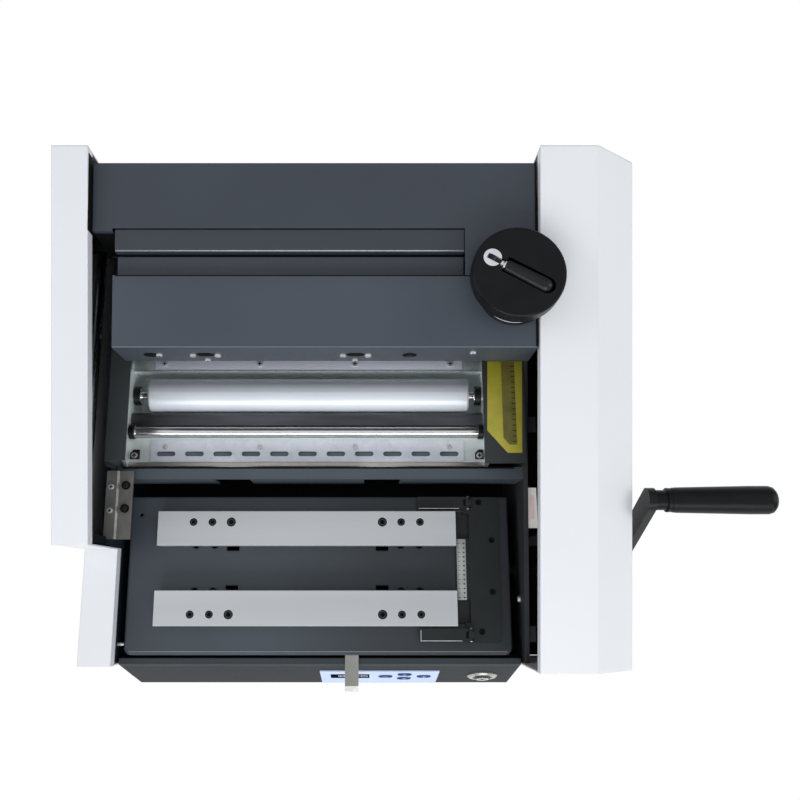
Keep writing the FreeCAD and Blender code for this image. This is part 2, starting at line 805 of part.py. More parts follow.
def carriage_plate():
    x = rod_x - bearing_width / 2
    plate = block(-x, x, plate_front, plate_front + plate_depth, plate_z, plate_z + plate_thick)
    tail = block(wheel_x - 20, wheel_x + 15, plate_front + plate_depth, stand_front + 8.5,
                 plate_z, plate_z + plate_thick)
    window = block(-150, 130, plate_front + 12, plate_front + plate_depth - 10, plate_z - 1,
                   plate_z + plate_thick + 1)
    ears = []
    for side in (-1, 1):
        x = sorted((side * (half_bed - carriage_gap - carriage_sheet), side * (half_bed - carriage_gap - 4)))
        ears.append(block(x[0], x[1], plate_front + 5, plate_front + plate_depth - 5, plate_z,
                          carriage_wall_bottom + 17))
    return fused([plate, tail] + ears).cut(window)


jaw_face_rear = clamp_line + jaw_mouth / 2
jaw_face_front = clamp_line - jaw_mouth / 2


def carriage_line(y):
    run = carriage_rear - carriage_front
    return carriage_top_rear - carriage_fall * (carriage_rear - y) / run


def jaw_beam():
    y0 = jaw_face_rear + jaw_thick
    tube = block(jaw_left + 3, wheel_x + 18, y0, plate_front, beam_bottom, beam_top)
    w = beam_wall
    tube = tube.cut(block(jaw_left, wheel_x + 20, y0 + w, plate_front - w, beam_bottom + w, beam_top - w))
    stand = block(wheel_x - 12, wheel_x + 12, y0 + 1, y0 + 11, beam_top, screw_z + 13)
    stand = stand.cut(rod_y_axis(screw_d - 2 + 2 * running, y0, y0 + 12, wheel_x, screw_z))
    return fused([tube, stand])


def screw_stand():
    y0 = stand_front
    stand = block(wheel_x - 12, wheel_x + 12, y0, y0 + 8, plate_z + plate_thick, screw_z + 13)
    return stand.cut(rod_y_axis(screw_d - 4 + 2 * running, y0 - 1, y0 + 9, wheel_x, screw_z))


def rear_jaw():
    y0 = jaw_face_rear
    top = carriage_line(y0) - jaw_sink
    plate = block(jaw_left + 3, jaw_right, y0, y0 + jaw_thick, jaw_bottom, top - 8)
    back = top + jaw_lip * carriage_fall / (carriage_rear - carriage_front)
    lip = along_x([(y0, top - 10), (y0, top - 1.5), (y0 + 1.5, top), (y0 + jaw_lip, back),
                   (y0 + jaw_lip, back - 3), (y0 + jaw_thick, top - 10)], jaw_left, jaw_right)
    return fused([plate, lip])


drawbar_x = 176.0
nut_thick = 12.0


def front_jaw():
    y1 = jaw_face_front
    fall = carriage_fall / (carriage_rear - carriage_front)
    top = carriage_line(y1) - carriage_sheet - 0.6 - jaw_opening * fall
    low = top - jaw_lip * fall
    left = -half_bed + carriage_left_inset + carriage_sheet + clear
    plate = block(jaw_left + 3, jaw_right, y1 - jaw_thick, y1, jaw_bottom, top - 8)
    lip = along_x([(y1, top - 11), (y1, top - 0.7), (y1 - 0.7, top), (y1 - jaw_lip, low),
                   (y1 - jaw_lip, low - 3), (y1 - jaw_thick, top - 11)], left, jaw_right)
    lug = block(jaw_right - 1, drawbar_x + 4, y1 - jaw_thick, y1, guide_z - 12, guide_z + 10)
    nut_y = stand_front - 1.5 - nut_thick
    drawbar = block(drawbar_x - 4, drawbar_x + 4, y1, nut_y + nut_thick, guide_z - 8, guide_z + 8)
    nut = block(drawbar_x, wheel_x + 12, nut_y, nut_y + nut_thick, guide_z - 12, guide_z + 12)
    body = fused([plate, lip, lug, drawbar, nut])
    bores = [rod_y_axis(guide_d + 2 * running, y1 - jaw_thick - 1, y1 + 1, x, guide_z) for x in guide_xs]
    bores.append(rod_y_axis(screw_d + 2 * running, nut_y - 1, nut_y + nut_thick + 1, wheel_x, screw_z))
    return body.cut(Part.makeCompound(bores))


guide_xs = (jaw_left + 13.0, jaw_right + 11.5)


def jaw_guide_rods():
    y0 = carriage_front + carriage_sheet
    y1 = jaw_face_rear + jaw_thick
    rods = [rod_y_axis(guide_d, y0, jaw_face_rear, guide_xs[0], guide_z),
            rod_y_axis(guide_d, y0, y1 + 20, guide_xs[1], guide_z)]
    foot = block(guide_xs[1] - 8, guide_xs[1] + 8, y1 + 4, y1 + 18, beam_top, guide_z + 8)
    foot = foot.cut(rod_y_axis(guide_d, y1, y1 + 30, guide_xs[1], guide_z))
    return Part.makeCompound(rods + [foot])


def carriage_cover():
    s = carriage_sheet
    left = -half_bed + carriage_gap
    right = half_bed - carriage_gap
    front = carriage_front
    rear = carriage_rear
    wing = rear - carriage_wing_depth
    notch = -half_bed + carriage_left_inset

    def solid(inset, low):
        side = [(front + inset, low), (rear - inset, low), (rear - inset, carriage_line(rear) - inset),
                (front + inset, carriage_line(front) - inset)]
        body = along_x(side, left + inset, right - inset)
        cut = block(left - 5, notch + inset, front - 5, wing + inset, 0, carriage_top_rear + 10)
        return body.cut(cut)

    shell = solid(0, carriage_wall_bottom).cut(solid(s, carriage_wall_bottom - 1))
    mouth_front = jaw_face_front - jaw_lip - clear
    mouth_rear = jaw_face_rear + jaw_lip + clear
    mouth = block(notch - 1, jaw_right + clear, mouth_front, mouth_rear, carriage_wall_bottom + 10,
                  carriage_top_rear + 10)
    hole = rod_z_axis(shaft_d + 6, carriage_wall_bottom, carriage_top_rear + 10, wheel_x, wheel_y)
    slots = []
    z = carriage_wall_bottom + 25
    for x in (-113.1, 40.7):
        bar = slot_x(x - 8, x + 8, 0, 5, -8, 8)
        bar.rotate(Vector(0, 0, 0), Vector(1, 0, 0), 90)
        slots.append(bar.translated(Vector(0, front, z)))
    slots.append(rod_y_axis(6, front - 5, front + 5, 96.3, z - 2))
    slots.append(rod_y_axis(6, front - 5, front + 5, -165.4, z))
    return fused([shell, wheel_seat()]).cut(Part.makeCompound([mouth, hole] + slots))


# The round seat under the handwheel lies on the falling top and stops short of the casing.
def wheel_seat():
    reach = seat_d / 2 + 1
    y0 = wheel_y - reach
    y1 = wheel_y + reach
    points = [(y0, carriage_line(y0) - 1), (y1, carriage_line(y1) - 1), (y1, carriage_line(y1) + seat_thick),
              (y0, carriage_line(y0) + seat_thick)]
    layer = along_x(points, wheel_x - reach, half_bed - carriage_gap - 2)
    column = rod_z_axis(seat_d, carriage_line(y0) - 5, carriage_line(y1) + 9, wheel_x, wheel_y)
    return column.common(layer)


# --- clamp drive
def mitre_gear(bore):
    n = mitre_teeth
    pitch_r = n * mitre_module / 2
    apex = pitch_r
    tip = pitch_r * math.tan(math.radians(45) + mitre_module / (pitch_r * math.sqrt(2)))
    root = pitch_r * math.tan(math.radians(45) - 1.2 * mitre_module / (pitch_r * math.sqrt(2)))
    backlash = 0.35
    flank = [(root, 1.1 * mitre_module), (pitch_r, 0.785 * mitre_module), (tip, 0.4 * mitre_module)]
    outline = []
    for i in range(n):
        middle = 2 * math.pi * i / n
        for side in (-1, 1):
            for r, half in (flank if side < 0 else reversed(flank)):
                turn = middle + side * (half - backlash / 2) / r
                outline.append(Vector(r * math.cos(turn), r * math.sin(turn), 0))
    scale = (apex - mitre_face) / apex
    far = [point * scale + Vector(0, 0, mitre_face) for point in outline]
    sides = []
    for i in range(len(outline)):
        corners = [outline[i - 1], outline[i], far[i], far[i - 1]]
        sides.append(Part.Face(Part.makePolygon(corners + [corners[0]])))
    ends = [Part.Face(Part.makePolygon(ring + [ring[0]])) for ring in (outline, far)]
    teeth = Part.Solid(Part.Shell(sides + ends))
    hub = rod_z_axis(root * 1.5, -6, 0, 0, 0)
    return fused([teeth, hub]).cut(rod_z_axis(bore, -7, mitre_face + 1, 0, 0))


mitre_radius = mitre_teeth * mitre_module / 2


# The upright shaft of the handwheel: its gear's apex is on the screw's axis.
def wheel_shaft():
    gear = mitre_gear(9)
    gear.rotate(Vector(0, 0, 0), Vector(1, 0, 0), 180)
    gear.translate(Vector(wheel_x, wheel_y, screw_z + mitre_radius))
    shaft = rod_z_axis(10, screw_z + mitre_radius - mitre_face, wheel_top - wheel_thick + 2, wheel_x, wheel_y)
    z = carriage_line(wheel_y)
    collar = rod_z_axis(shaft_d + 4, z - 10, z - 4, wheel_x, wheel_y)
    return fused([gear, shaft, collar])


def shaft_bracket():
    z = screw_z + mitre_radius + 7
    arm = block(wheel_x - 14, half_bed - carriage_gap - carriage_sheet, wheel_y - 12, wheel_y + 12, z, z + 5)
    return arm.cut(rod_z_axis(10 + 2 * running, z - 1, z + 6, wheel_x, wheel_y))


def clamp_screw():
    gear = mitre_gear(9)
    gear.rotate(Vector(0, 0, 0), Vector(0, 0, 1), 180 / mitre_teeth)
    gear.rotate(Vector(0, 0, 0), Vector(1, 0, 0), 90)
    gear.translate(Vector(wheel_x, wheel_y + mitre_radius, screw_z))
    y0 = wheel_y + mitre_radius - mitre_face
    y1 = jaw_face_rear + jaw_thick
    end = stand_front
    neck = rod_y_axis(10, y0, y1, wheel_x, screw_z)
    journal = rod_y_axis(screw_d - 2, y1, y1 + 12, wheel_x, screw_z)
    thread = rod_y_axis(screw_d, y1 + 12, end - 0.5, wheel_x, screw_z)
    tail = rod_y_axis(screw_d - 4, end - 0.5, end + 8, wheel_x, screw_z)
    return fused([gear, neck, journal, thread, tail])


def handle_frame(shape):
    placed = shape.copy()
    placed.rotate(Vector(0, 0, 0), Vector(0, 0, 1), handle_angle)
    placed.translate(Vector(wheel_x, wheel_y, wheel_top))
    return placed


# In the handle's own frame the pivot is on -X, the wheel's top face is Z = 0.
def handwheel():
    r = wheel_d / 2
    t = wheel_thick
    arc = []
    for i in range(4):
        a = math.radians(90 * i / 3)
        arc.append((r - 2.5 + 2.5 * math.sin(a), -2.5 + 2.5 * math.cos(a)))
    low = [(r, -t + 2), (r - 2, -t)]
    hub_r = hub_d / 2
    foot = -(wheel_top - carriage_line(wheel_y + hub_r)) + seat_thick + 1.0
    profile = [(0, 0)] + arc + low + [(r - 8, -t), (r - 9, -t + 5), (hub_r, -t + 5), (hub_r, foot), (0, foot)]
    body = revolved(profile)
    groove_d = handle_d + 3
    length = handle_length - handle_d / 2 + 2.5
    x0 = -handle_start - 1
    groove = Part.makeCylinder(groove_d / 2, length, Vector(x0, 0, -pivot_drop), Vector(1, 0, 0))
    end = Part.makeSphere(groove_d / 2, Vector(x0 + length, 0, -pivot_drop))
    neck_well = Part.makeBox(pivot_radius - handle_start + 1, 8, 10, Vector(-pivot_radius, -4, -8))
    clevis_seat = Part.makeCylinder(clevis_d / 2, clevis_depth + 1, Vector(-pivot_radius, 0, -clevis_depth))
    slot = Part.makeCylinder(eye_d / 2 + 1.2, eye_width + 1,
                             Vector(-pivot_radius, -eye_width / 2 - 0.5, -pivot_drop), Vector(0, 1, 0))
    body = body.cut(Part.makeCompound([groove]))
    body = body.cut(end).cut(neck_well).cut(clevis_seat).cut(slot)
    shaft_bore = Part.makeCylinder(5, t + 60, Vector(0, 0, -t + 2 - t - 60))
    return handle_frame(body.cut(shaft_bore))


pivot_drop = 4.0


def handle_clevis():
    d = clevis_depth
    bush = Part.makeCylinder(clevis_d / 2, d, Vector(-pivot_radius, 0, -d))
    w = eye_width / 2 + clear
    low = Vector(-pivot_radius - eye_d / 2 - 0.6, -w, -pivot_drop - eye_d / 2 - 0.6)
    slot = Part.makeBox(clevis_d, 2 * w, d, low)
    pin = Part.makeCylinder(1.5 + running, clevis_d, Vector(-pivot_radius, -clevis_d / 2, -pivot_drop),
                            Vector(0, 1, 0))
    return handle_frame(bush.cut(slot).cut(pin))


def folding_handle():
    x0 = -pivot_radius
    z = -pivot_drop
    eye = Part.makeCylinder(eye_d / 2, eye_width, Vector(x0, -eye_width / 2, z), Vector(0, 1, 0))
    pin = Part.makeCylinder(1.5, clevis_d - 1.2, Vector(x0, -clevis_d / 2 + 0.6, z), Vector(0, 1, 0))
    neck = Part.makeCylinder(2.3, pivot_radius - handle_start + 1, Vector(x0, 0, z), Vector(1, 0, 0))
    r = handle_d / 2
    end = handle_length
    profile = [(0, 0), (r - 2, 0), (r - 1, 1.5), (r - 0.4, end * 0.5), (r, end - r)]
    for i in range(1, 5):
        a = math.radians(90 * i / 4)
        profile.append((r * math.cos(a) if i < 4 else 0, end - r + r * math.sin(a)))
    grip = revolved(profile)
    grip.rotate(Vector(0, 0, 0), Vector(0, 1, 0), 90)
    grip.translate(Vector(-handle_start, 0, z))
    return handle_frame(fused([eye, pin, neck, grip]))


# --- nipping station
post_xs = [bar_centre + side * post_spacing for side in (-1, 1)]
screw_xs = [bar_centre + side * (post_spacing + i * screw_pitch) for side in (-1, 1) for i in range(3)]


def press_tray():
    s = table_sheet
    low = table_top - s
    deck = block(table_left, table_right, table_front, table_rear, low - table_rim, table_top)
    corners = [e for e in deck.Edges if e.BoundBox.ZLength > table_rim and e.BoundBox.YMax < 0]
    deck = deck.makeFillet(9, corners)
    rim = [e for e in deck.Edges if e.BoundBox.ZMin > table_top - 0.01 and e.BoundBox.YMax < table_rear - 1]
    deck = deck.makeChamfer(1.2, rim)
    deck = deck.cut(block(table_left + s, table_right - s, table_front + s, table_rear - s,
                          low - table_rim - 1, low))
    cuts = []
    inner = screw_row - nip_travel
    for x in screw_xs:
        wide = 14 if x in post_xs else 9
        for side in (-1, 1):
            y = sorted((side * inner, side * screw_row))
            if x in post_xs:
                cuts.append(block(x - wide / 2, x + wide / 2, y[0] - 7, y[1] + 7, low - 1, table_top + 1))
            else:
                cuts.append(slot_y(x, y[0], y[1], wide, low - 1, table_top + 1))
    strip_gap = block(strip_x - strip_width / 2 - clear, strip_x + strip_width / 2 + clear, table_front - 1,
                      table_front + s + 1, panel_top - 20, low)
    cuts.append(strip_gap)
    cuts.append(rod_z_axis(4, low - 1, table_top + 1, table_left + 12, table_rear - 20.5))
    x0 = bar_right + 2
    x1 = guide_left + guide_relief
    cuts.append(block(x0, x1, -guide_slot, guide_slot + 2, low - 1, table_top + 1))
    deck = deck.cut(Part.makeCompound(cuts))
    pads = [block(x - 8, x + 8, -6, cam_radius + 14, cam_shaft_z + cam_start + clear, low)
            for x in (cam_left, cam_right)]
    bushes = []
    for x, y in table_corners:
        tube = rod_z_axis(guide_post_d + 8, 92, low, x, y)
        bushes.append(tube.cut(rod_z_axis(guide_post_d + 2 * running, 90, low, x, y)))
    return fused([deck] + pads + bushes)


corner_ys = (table_front + 20, table_rear - 17)
table_corners = [(x, y) for x in (table_left + 24, table_right - 24) for y in corner_ys]


def table_posts():
    top = table_top - table_sheet - 1
    posts = []
    for x, y in table_corners:
        pin = rod_z_axis(guide_post_d, floor_z, top, x, y)
        posts.append(fused([pin, rod_z_axis(guide_post_d + 10, floor_z, floor_z + 5, x, y)]))
    return Part.makeCompound(posts)


# side is 1 for the rear bar and -1 for the front one.
def nip_bar(side):
    low = table_top + clear
    y = sorted((side * bar_in, side * bar_out))
    bar = block(bar_left, bar_right, y[0], y[1], low, bar_top)
    long_edges = [e for e in bar.Edges if e.BoundBox.XLength > 10 and e.BoundBox.ZMin > bar_top - 0.01]
    bar = bar.makeChamfer(0.6, long_edges)
    sinks = []
    for x in screw_xs:
        d = 10.5 if x in post_xs else 9.0
        sinks.append(rod_z_axis(d, bar_top - 5.5, bar_top + 1, x, side * screw_row))
    bar = bar.cut(Part.makeCompound(sinks))
    posts = []
    half = post_size / 2
    for x in post_xs:
        reach = x + half + 2 + slot_plate_thick + 2.5
        post = block(x - half, x + half, side * screw_row - half, side * screw_row + half, pin_z - half, low)
        posts.append(fused([post, rod_x_axis(pin_d, x, reach, side * screw_row, pin_z)]))
    return fused([bar] + posts)


def front_nip_bar():
    return nip_bar(-1)


def rear_nip_bar():
    return nip_bar(1)


# Fixed plates whose 45 degree slots draw the bars together as the table rises.
def slot_plates():
    plates = []
    for x in post_xs:
        x0 = x + post_size / 2 + 2
        x1 = x0 + slot_plate_thick
        reach = screw_row + 16
        high = pin_z + nip_travel + 14
        points = [(-reach, floor_z), (reach, floor_z), (reach, pin_z + 14)]
        points += [(screw_row - 12, high), (14, high)]
        points += [(14, cam_shaft_z - 18), (-14, cam_shaft_z - 18), (-14, high), (-screw_row + 12, high)]
        points += [(-reach, pin_z + 14)]
        plate = along_x(points, x0, x1)
        q = (pin_d / 2 + clear) / math.sqrt(2)
        for side in (-1, 1):
            a = (side * screw_row, pin_z)
            b = (side * (screw_row - nip_travel), pin_z + nip_travel)
            path = [(a[0] - side * q, a[1] - q), (a[0] + side * q, a[1] + q),
                    (b[0] + side * q, b[1] + q), (b[0] - side * q, b[1] - q)]
            cut = along_x(path, x0 - 1, x1 + 1)
            ends = [rod_x_axis(pin_d + 2 * clear, x0 - 1, x1 + 1, p[0], p[1]) for p in (a, b)]
            plate = plate.cut(fused([cut] + ends))
        foot = block(x0, x0 + 20, -reach, -18, floor_z, floor_z + 3)
        foot_rear = block(x0, x0 + 20, 18, reach, floor_z, floor_z + 3)
        plates.append(fused([plate, foot, foot_rear]))
    return Part.makeCompound(plates)


# A lift cam with an involute face: under a flat pad its rise is the same for every degree.
def lift_cam(x):
    points = []
    steps = 14
    for i in range(steps + 1):
        a = math.radians(90 + 6 - (lever_sweep + 12) * i / steps)
        rise = cam_start + cam_radius * (math.pi / 2 - a)
        y = rise * math.cos(a) + cam_radius * math.sin(a)
        z = rise * math.sin(a) - cam_radius * math.cos(a)
        points.append((y, cam_shaft_z + z))
    outline = [(0, cam_shaft_z)] + points + [(0, cam_shaft_z - 10)]
    lobe = along_x(outline, x - cam_width / 2, x + cam_width / 2)
    return fused([lobe, rod_x_axis(30, x - cam_width / 2, x + cam_width / 2, 0, cam_shaft_z)])


bearing_xs = (cam_left - 28.0, cam_right + 28.0)


def cam_shaft():
    shaft = rod_x_axis(cam_shaft_d, bearing_xs[0] - 10, lever_x + arm_thick / 2 + 2, 0, cam_shaft_z)
    collars = [rod_x_axis(22, x + 7, x + 12, 0, cam_shaft_z) for x in bearing_xs]
    return fused([shaft, lift_cam(cam_left), lift_cam(cam_right)] + collars)


def shaft_bearings():
    blocks = []
    for x in bearing_xs:
        half = [(26, floor_z), (26, floor_z + 5), (15, floor_z + 9)]
        half += [(15, cam_shaft_z + 4), (8, cam_shaft_z + 14)]
        points = half + [(-y, z) for y, z in reversed(half)]
        body = along_x(points, x - 6, x + 6)
        blocks.append(body.cut(rod_x_axis(cam_shaft_d + 2 * running, x - 7, x + 7, 0, cam_shaft_z)))
    bush = rod_x_axis(cam_shaft_d + 4, wall_in, wall_out, 0, cam_shaft_z)
    flange = rod_x_axis(cam_shaft_d + 10, wall_in - 2, wall_in, 0, cam_shaft_z)
    bush = fused([bush, flange])
    blocks.append(bush.cut(rod_x_axis(cam_shaft_d + 2 * running, wall_in - 3, wall_out + 1, 0, cam_shaft_z)))
    return Part.makeCompound(blocks)


def lever_arm():
    dy = grip_y
    dz = grip_z - cam_shaft_z
    length = math.hypot(dy, dz)
    turn = math.degrees(math.atan2(dz, dy))
    x0 = lever_x - arm_thick / 2
    half = arm_width / 2
    web = along_x([(0, -half), (length, -half), (length, half), (0, half)], x0, x0 + arm_thick)
    tip = rod_x_axis(arm_width, x0, x0 + arm_thick, length, 0)
    hub = rod_x_axis(lever_hub_d, x0 - 7, x0 + arm_thick + 5, 0, 0)
    collar = rod_x_axis(20, x0 + arm_thick, grip_x, length, 0)
    spigot = rod_x_axis(13, grip_x, grip_x + grip_length * 0.6, length, 0)
    arm = fused([web, tip, hub, collar, spigot])
    arm = arm.cut(rod_x_axis(cam_shaft_d, x0 - 8, lever_x + arm_thick / 2 + 2, 0, 0))
    arm.rotate(Vector(0, 0, 0), Vector(1, 0, 0), turn)
    arm.translate(Vector(0, 0, cam_shaft_z))
    return arm


def lever_grip():
    r0 = grip_inner_d / 2
    r1 = grip_outer_d / 2
    n = grip_length
    profile = [(6.5, 0), (r0 - 1.5, 0), (r0 - 0.5, 2), (r0, 6), (r1, n * 0.75), (r1, n - 8)]
    for i in range(1, 4):
        a = math.radians(90 * i / 3)
        profile.append((r1 - 8 + 8 * math.cos(a), n - 8 + 8 * math.sin(a)))
    profile += [(0, n), (0, n * 0.6 + 0.01), (6.5, n * 0.6)]
    grip = revolved(profile)
    grip.rotate(Vector(0, 0, 0), Vector(0, 1, 0), 90)
    return grip.translated(Vector(grip_x, grip_y, grip_z))


# --- side guide on the nipping table
guide_left = bar_right + 10.5
guide_right = guide_left + 40.0
guide_relief = 6.0
guide_slot = 61.0
guide_thick = 3.0
clip_x = guide_left + 5.5
clip_reach = 57.0
clip_z = table_top + guide_thick + 3.6
clip_rows = {"front_clip": (-79.5, -66.0), "rear_clip": (66.5, 80.0)}


def side_guide():
    z0 = table_top
    z1 = z0 + guide_thick
    plate = block(guide_left, guide_right, -81.7, 80.0, z0, z1)
    corners = [e for e in plate.Edges if e.BoundBox.ZLength > 1]
    plate = plate.makeFillet(3, corners)
    relief = block(guide_left - 1, guide_left + guide_relief, 1 - guide_slot, guide_slot, z0 - 1, z1 + 1)
    ruler = block(bar_right + 0.8, guide_left + 12, -35.2, 32.5, z0, z0 + 2)
    places = ((194, -26.5), (194.5, 31), (181, -70), (181, 74))
    holes = [rod_z_axis(5, z0 - 1, z1 + 1, x, y) for x, y in places]
    lugs = []
    for y0, y1 in clip_rows.values():
        lug = along_y([(clip_x - 4, z1 - 1), (clip_x + 4, z1 - 1), (clip_x + 3, clip_z + 3),
                       (clip_x - 3, clip_z + 3)], y0 + 3.4, y1 - 3.4)
        lugs.append(lug.cut(rod_y_axis(3 + 2 * running, y0, y1, clip_x, clip_z)))
    body = plate.cut(relief)
    return fused([body, ruler] + lugs).cut(Part.makeCompound(holes))


def clip(name):
    y0, y1 = clip_rows[name]
    z0 = clip_z - 1.2
    leaf = block(clip_x - clip_reach, clip_x - 6, y0, y1, z0, z0 + 2)
    tip = rod_y_axis(2, y0, y1, clip_x - clip_reach, z0 + 1)
    pin = rod_y_axis(3, y0 + 0.4, y1 - 0.4, clip_x, clip_z)
    knuckles = []
    for a, b in ((y0, y0 + 3.1), (y1 - 3.1, y1)):
        barrel = rod_y_axis(6, a, b, clip_x, clip_z)
        link = block(clip_x - 7, clip_x, a, b, z0, z0 + 2)
        knuckles += [barrel, link]
    return fused([leaf, tip, pin] + knuckles)


def front_strip():
    z1 = table_top - table_sheet
    x0 = strip_x - strip_width / 2
    y_end = bed_front - strip_reach + 11
    points = [(table_front + 30, z1 - 2), (table_front + 30, z1), (y_end + 6, z1), (y_end, z1 - 3)]
    points += [(y_end + 0.6, z1 - 5), (y_end + 6, z1 - 2)]
    return along_x(points, x0, x0 + strip_width)


builders = [
    base_plate, rubber_feet, left_side_wall, right_side_wall, left_base_cover, left_upper_cover, right_cover,
    rear_panel, power_inlet, front_panel, control_plate, display_window, switch_bezel, switch_plug,
    cross_beam, left_shelf, right_shelf, left_bracket, glue_pan, pan_front_plate, pan_end_plates,
    glue_scraper, glue_roller, roller_shaft, rod_roller, motor_pinion, gear_motor, cutter_slide, cutter_disc,
    guide_rods, rod_supports, carriage_bearings, carriage_plate, jaw_beam, rear_jaw, front_jaw, jaw_guide_rods, carriage_cover,
    wheel_shaft, clamp_screw, handwheel, handle_clevis, folding_handle, press_tray, table_posts,
    front_nip_bar, rear_nip_bar, slot_plates, cam_shaft, shaft_bearings, lever_arm, lever_grip, side_guide,
    front_strip,
]

os.makedirs("parts", exist_ok=True)
for build in builders:
    save(build.__name__, build())
for name in key_seats:
    save(name, key(name))
for name in clip_rows:
    save(name, clip(name))
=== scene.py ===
import json
import math

import bmesh
import bpy
from mathutils import Matrix, Vector


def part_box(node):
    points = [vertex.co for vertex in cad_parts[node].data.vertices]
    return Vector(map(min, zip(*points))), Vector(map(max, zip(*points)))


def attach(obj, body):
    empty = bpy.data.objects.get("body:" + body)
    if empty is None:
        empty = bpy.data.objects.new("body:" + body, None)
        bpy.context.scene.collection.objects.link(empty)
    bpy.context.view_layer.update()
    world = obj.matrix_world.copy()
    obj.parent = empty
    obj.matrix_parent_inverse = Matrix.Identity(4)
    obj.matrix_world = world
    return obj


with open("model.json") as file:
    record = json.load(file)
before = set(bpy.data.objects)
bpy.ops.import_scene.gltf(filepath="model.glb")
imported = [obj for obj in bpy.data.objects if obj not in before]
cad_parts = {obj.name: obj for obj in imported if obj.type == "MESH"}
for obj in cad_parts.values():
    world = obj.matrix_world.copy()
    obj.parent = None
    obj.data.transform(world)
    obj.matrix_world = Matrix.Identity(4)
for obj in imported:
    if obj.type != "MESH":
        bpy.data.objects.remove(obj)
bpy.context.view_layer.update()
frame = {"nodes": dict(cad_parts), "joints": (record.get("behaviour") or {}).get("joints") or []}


nodes = frame["nodes"]
frontBar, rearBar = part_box("front_nip_bar"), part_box("rear_nip_bar")
bedX = (frontBar[0].x + frontBar[1].x) / 2 + 0.015
bedY = (frontBar[0].y + rearBar[1].y) / 2


# Places are in millimetres from the middle of the bed, the nip line and the table.
def at(x, y, z):
    return Vector((bedX + x / 1000, bedY + y / 1000, z / 1000))


def topOf(node):
    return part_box(node)[1].z * 1000


# materials: every pattern lies in the space of the object
def link(tree, out, into):
    tree.links.new(out, into)


# A shader node with its properties, or its inputs where it has no such property.
def newNode(tree, kind, **values):
    node = tree.nodes.new(kind)
    for key, value in values.items():
        if hasattr(node, key):
            setattr(node, key, value)
        else:
            node.inputs[key.replace("_", " ")].default_value = value
    return node


# A new material, and the socket of its place in the object's own space.
def blank(name):
    material = bpy.data.materials.new(name)
    material.use_nodes = True
    tree = material.node_tree
    shader = tree.nodes["Principled BSDF"]
    place = newNode(tree, "ShaderNodeTexCoord")
    return material, tree, shader, place.outputs["Object"]


# Noise in a stretched object space; it runs from 0 to 1 about the middle.
def cloud(tree, place, scale, stretch=(1, 1, 1), detail=3.0, low=0.3, high=0.7):
    mapping = newNode(tree, "ShaderNodeMapping", Scale=stretch)
    link(tree, place, mapping.inputs["Vector"])
    noise = newNode(tree, "ShaderNodeTexNoise", Scale=scale, Detail=detail)
    link(tree, mapping.outputs["Vector"], noise.inputs["Vector"])
    spread = newNode(tree, "ShaderNodeMapRange")
    spread.inputs["From Min"].default_value = low
    spread.inputs["From Max"].default_value = high
    link(tree, noise.outputs[0], spread.inputs["Value"])
    return spread.outputs["Result"]


# The mix node's sockets for two colours and for their result.
firstColour, secondColour, mixedColour = 6, 7, 2


def between(tree, factor, first, second):
    mix = newNode(tree, "ShaderNodeMix", data_type="RGBA")
    mix.inputs[firstColour].default_value = (*first, 1)
    mix.inputs[secondColour].default_value = (*second, 1)
    link(tree, factor, mix.inputs[0])
    return mix.outputs[mixedColour]


# Spreads a factor that runs from 0 to 1 over another range.
def ranged(tree, factor, low, high):
    spread = newNode(tree, "ShaderNodeMapRange")
    spread.inputs["To Min"].default_value = low
    spread.inputs["To Max"].default_value = high
    link(tree, factor, spread.inputs["Value"])
    return spread.outputs["Result"]


# Painted shade: a colour that gets darker along one axis between two places in metres.
def shaded(tree, place, colour, axis, start, end, amount):
    split = newNode(tree, "ShaderNodeSeparateXYZ")
    link(tree, place, split.inputs[0])
    spread = newNode(tree, "ShaderNodeMapRange")
    for socket, value in zip(("From Min", "From Max", "To Min", "To Max"), (start, end, 1.0, 1.0 - amount)):
        spread.inputs[socket].default_value = value
    link(tree, split.outputs[axis], spread.inputs["Value"])
    scaled = newNode(tree, "ShaderNodeVectorMath", operation="SCALE")
    link(tree, colour, scaled.inputs[0])
    link(tree, spread.outputs["Result"], scaled.inputs["Scale"])
    return scaled.outputs["Vector"]


# What a finish has where its own settings don't say: patch and grain are noise scales, sheen is the specular
# level.
plainLook = {"patch": 9.0, "stretch": (1, 1, 1), "grain": 700.0, "relief": 0.05, "metal": 0.0, "sheen": 0.5,
             "paintedGlow": 0.0}
reliefDepth = 0.0002


# A finish from its settings: two colours and a roughness range, and also painted shade along an axis, painted
# light as an emission and an edge radius in millimetres where the settings have them.
def coat(name, settings):
    look = {**plainLook, **settings}
    material, tree, shader, place = blank(name)
    tone = cloud(tree, place, look["patch"], look["stretch"])
    colour = between(tree, tone, look["deep"], look["pale"])
    if "shade" in look:
        colour = shaded(tree, place, colour, *look["shade"])
    link(tree, colour, shader.inputs["Base Color"])
    # painted light: an emission in the pale colour, as strong as the settings ask
    shader.inputs["Emission Color"].default_value = (*look["pale"], 1)
    shader.inputs["Emission Strength"].default_value = look["paintedGlow"]
    fine = cloud(tree, place, look["grain"], look["stretch"], 2.0)
    link(tree, ranged(tree, fine, *look["rough"]), shader.inputs["Roughness"])
    shader.inputs["Metallic"].default_value = look["metal"]
    shader.inputs["Specular IOR Level"].default_value = look["sheen"]
    relief = newNode(tree, "ShaderNodeBump", Strength=look["relief"], Distance=reliefDepth)
    link(tree, fine, relief.inputs["Height"])
    if "edge" in look:
        rounded = newNode(tree, "ShaderNodeBevel", Radius=look["edge"] / 1000)
        link(tree, rounded.outputs["Normal"], relief.inputs["Normal"])
    link(tree, relief.outputs["Normal"], shader.inputs["Normal"])
    return material


# Gives CAD nodes one material.
def paint(names, material):
    for name in names:
        nodes[name].data.materials.clear()
        nodes[name].data.materials.append(material)


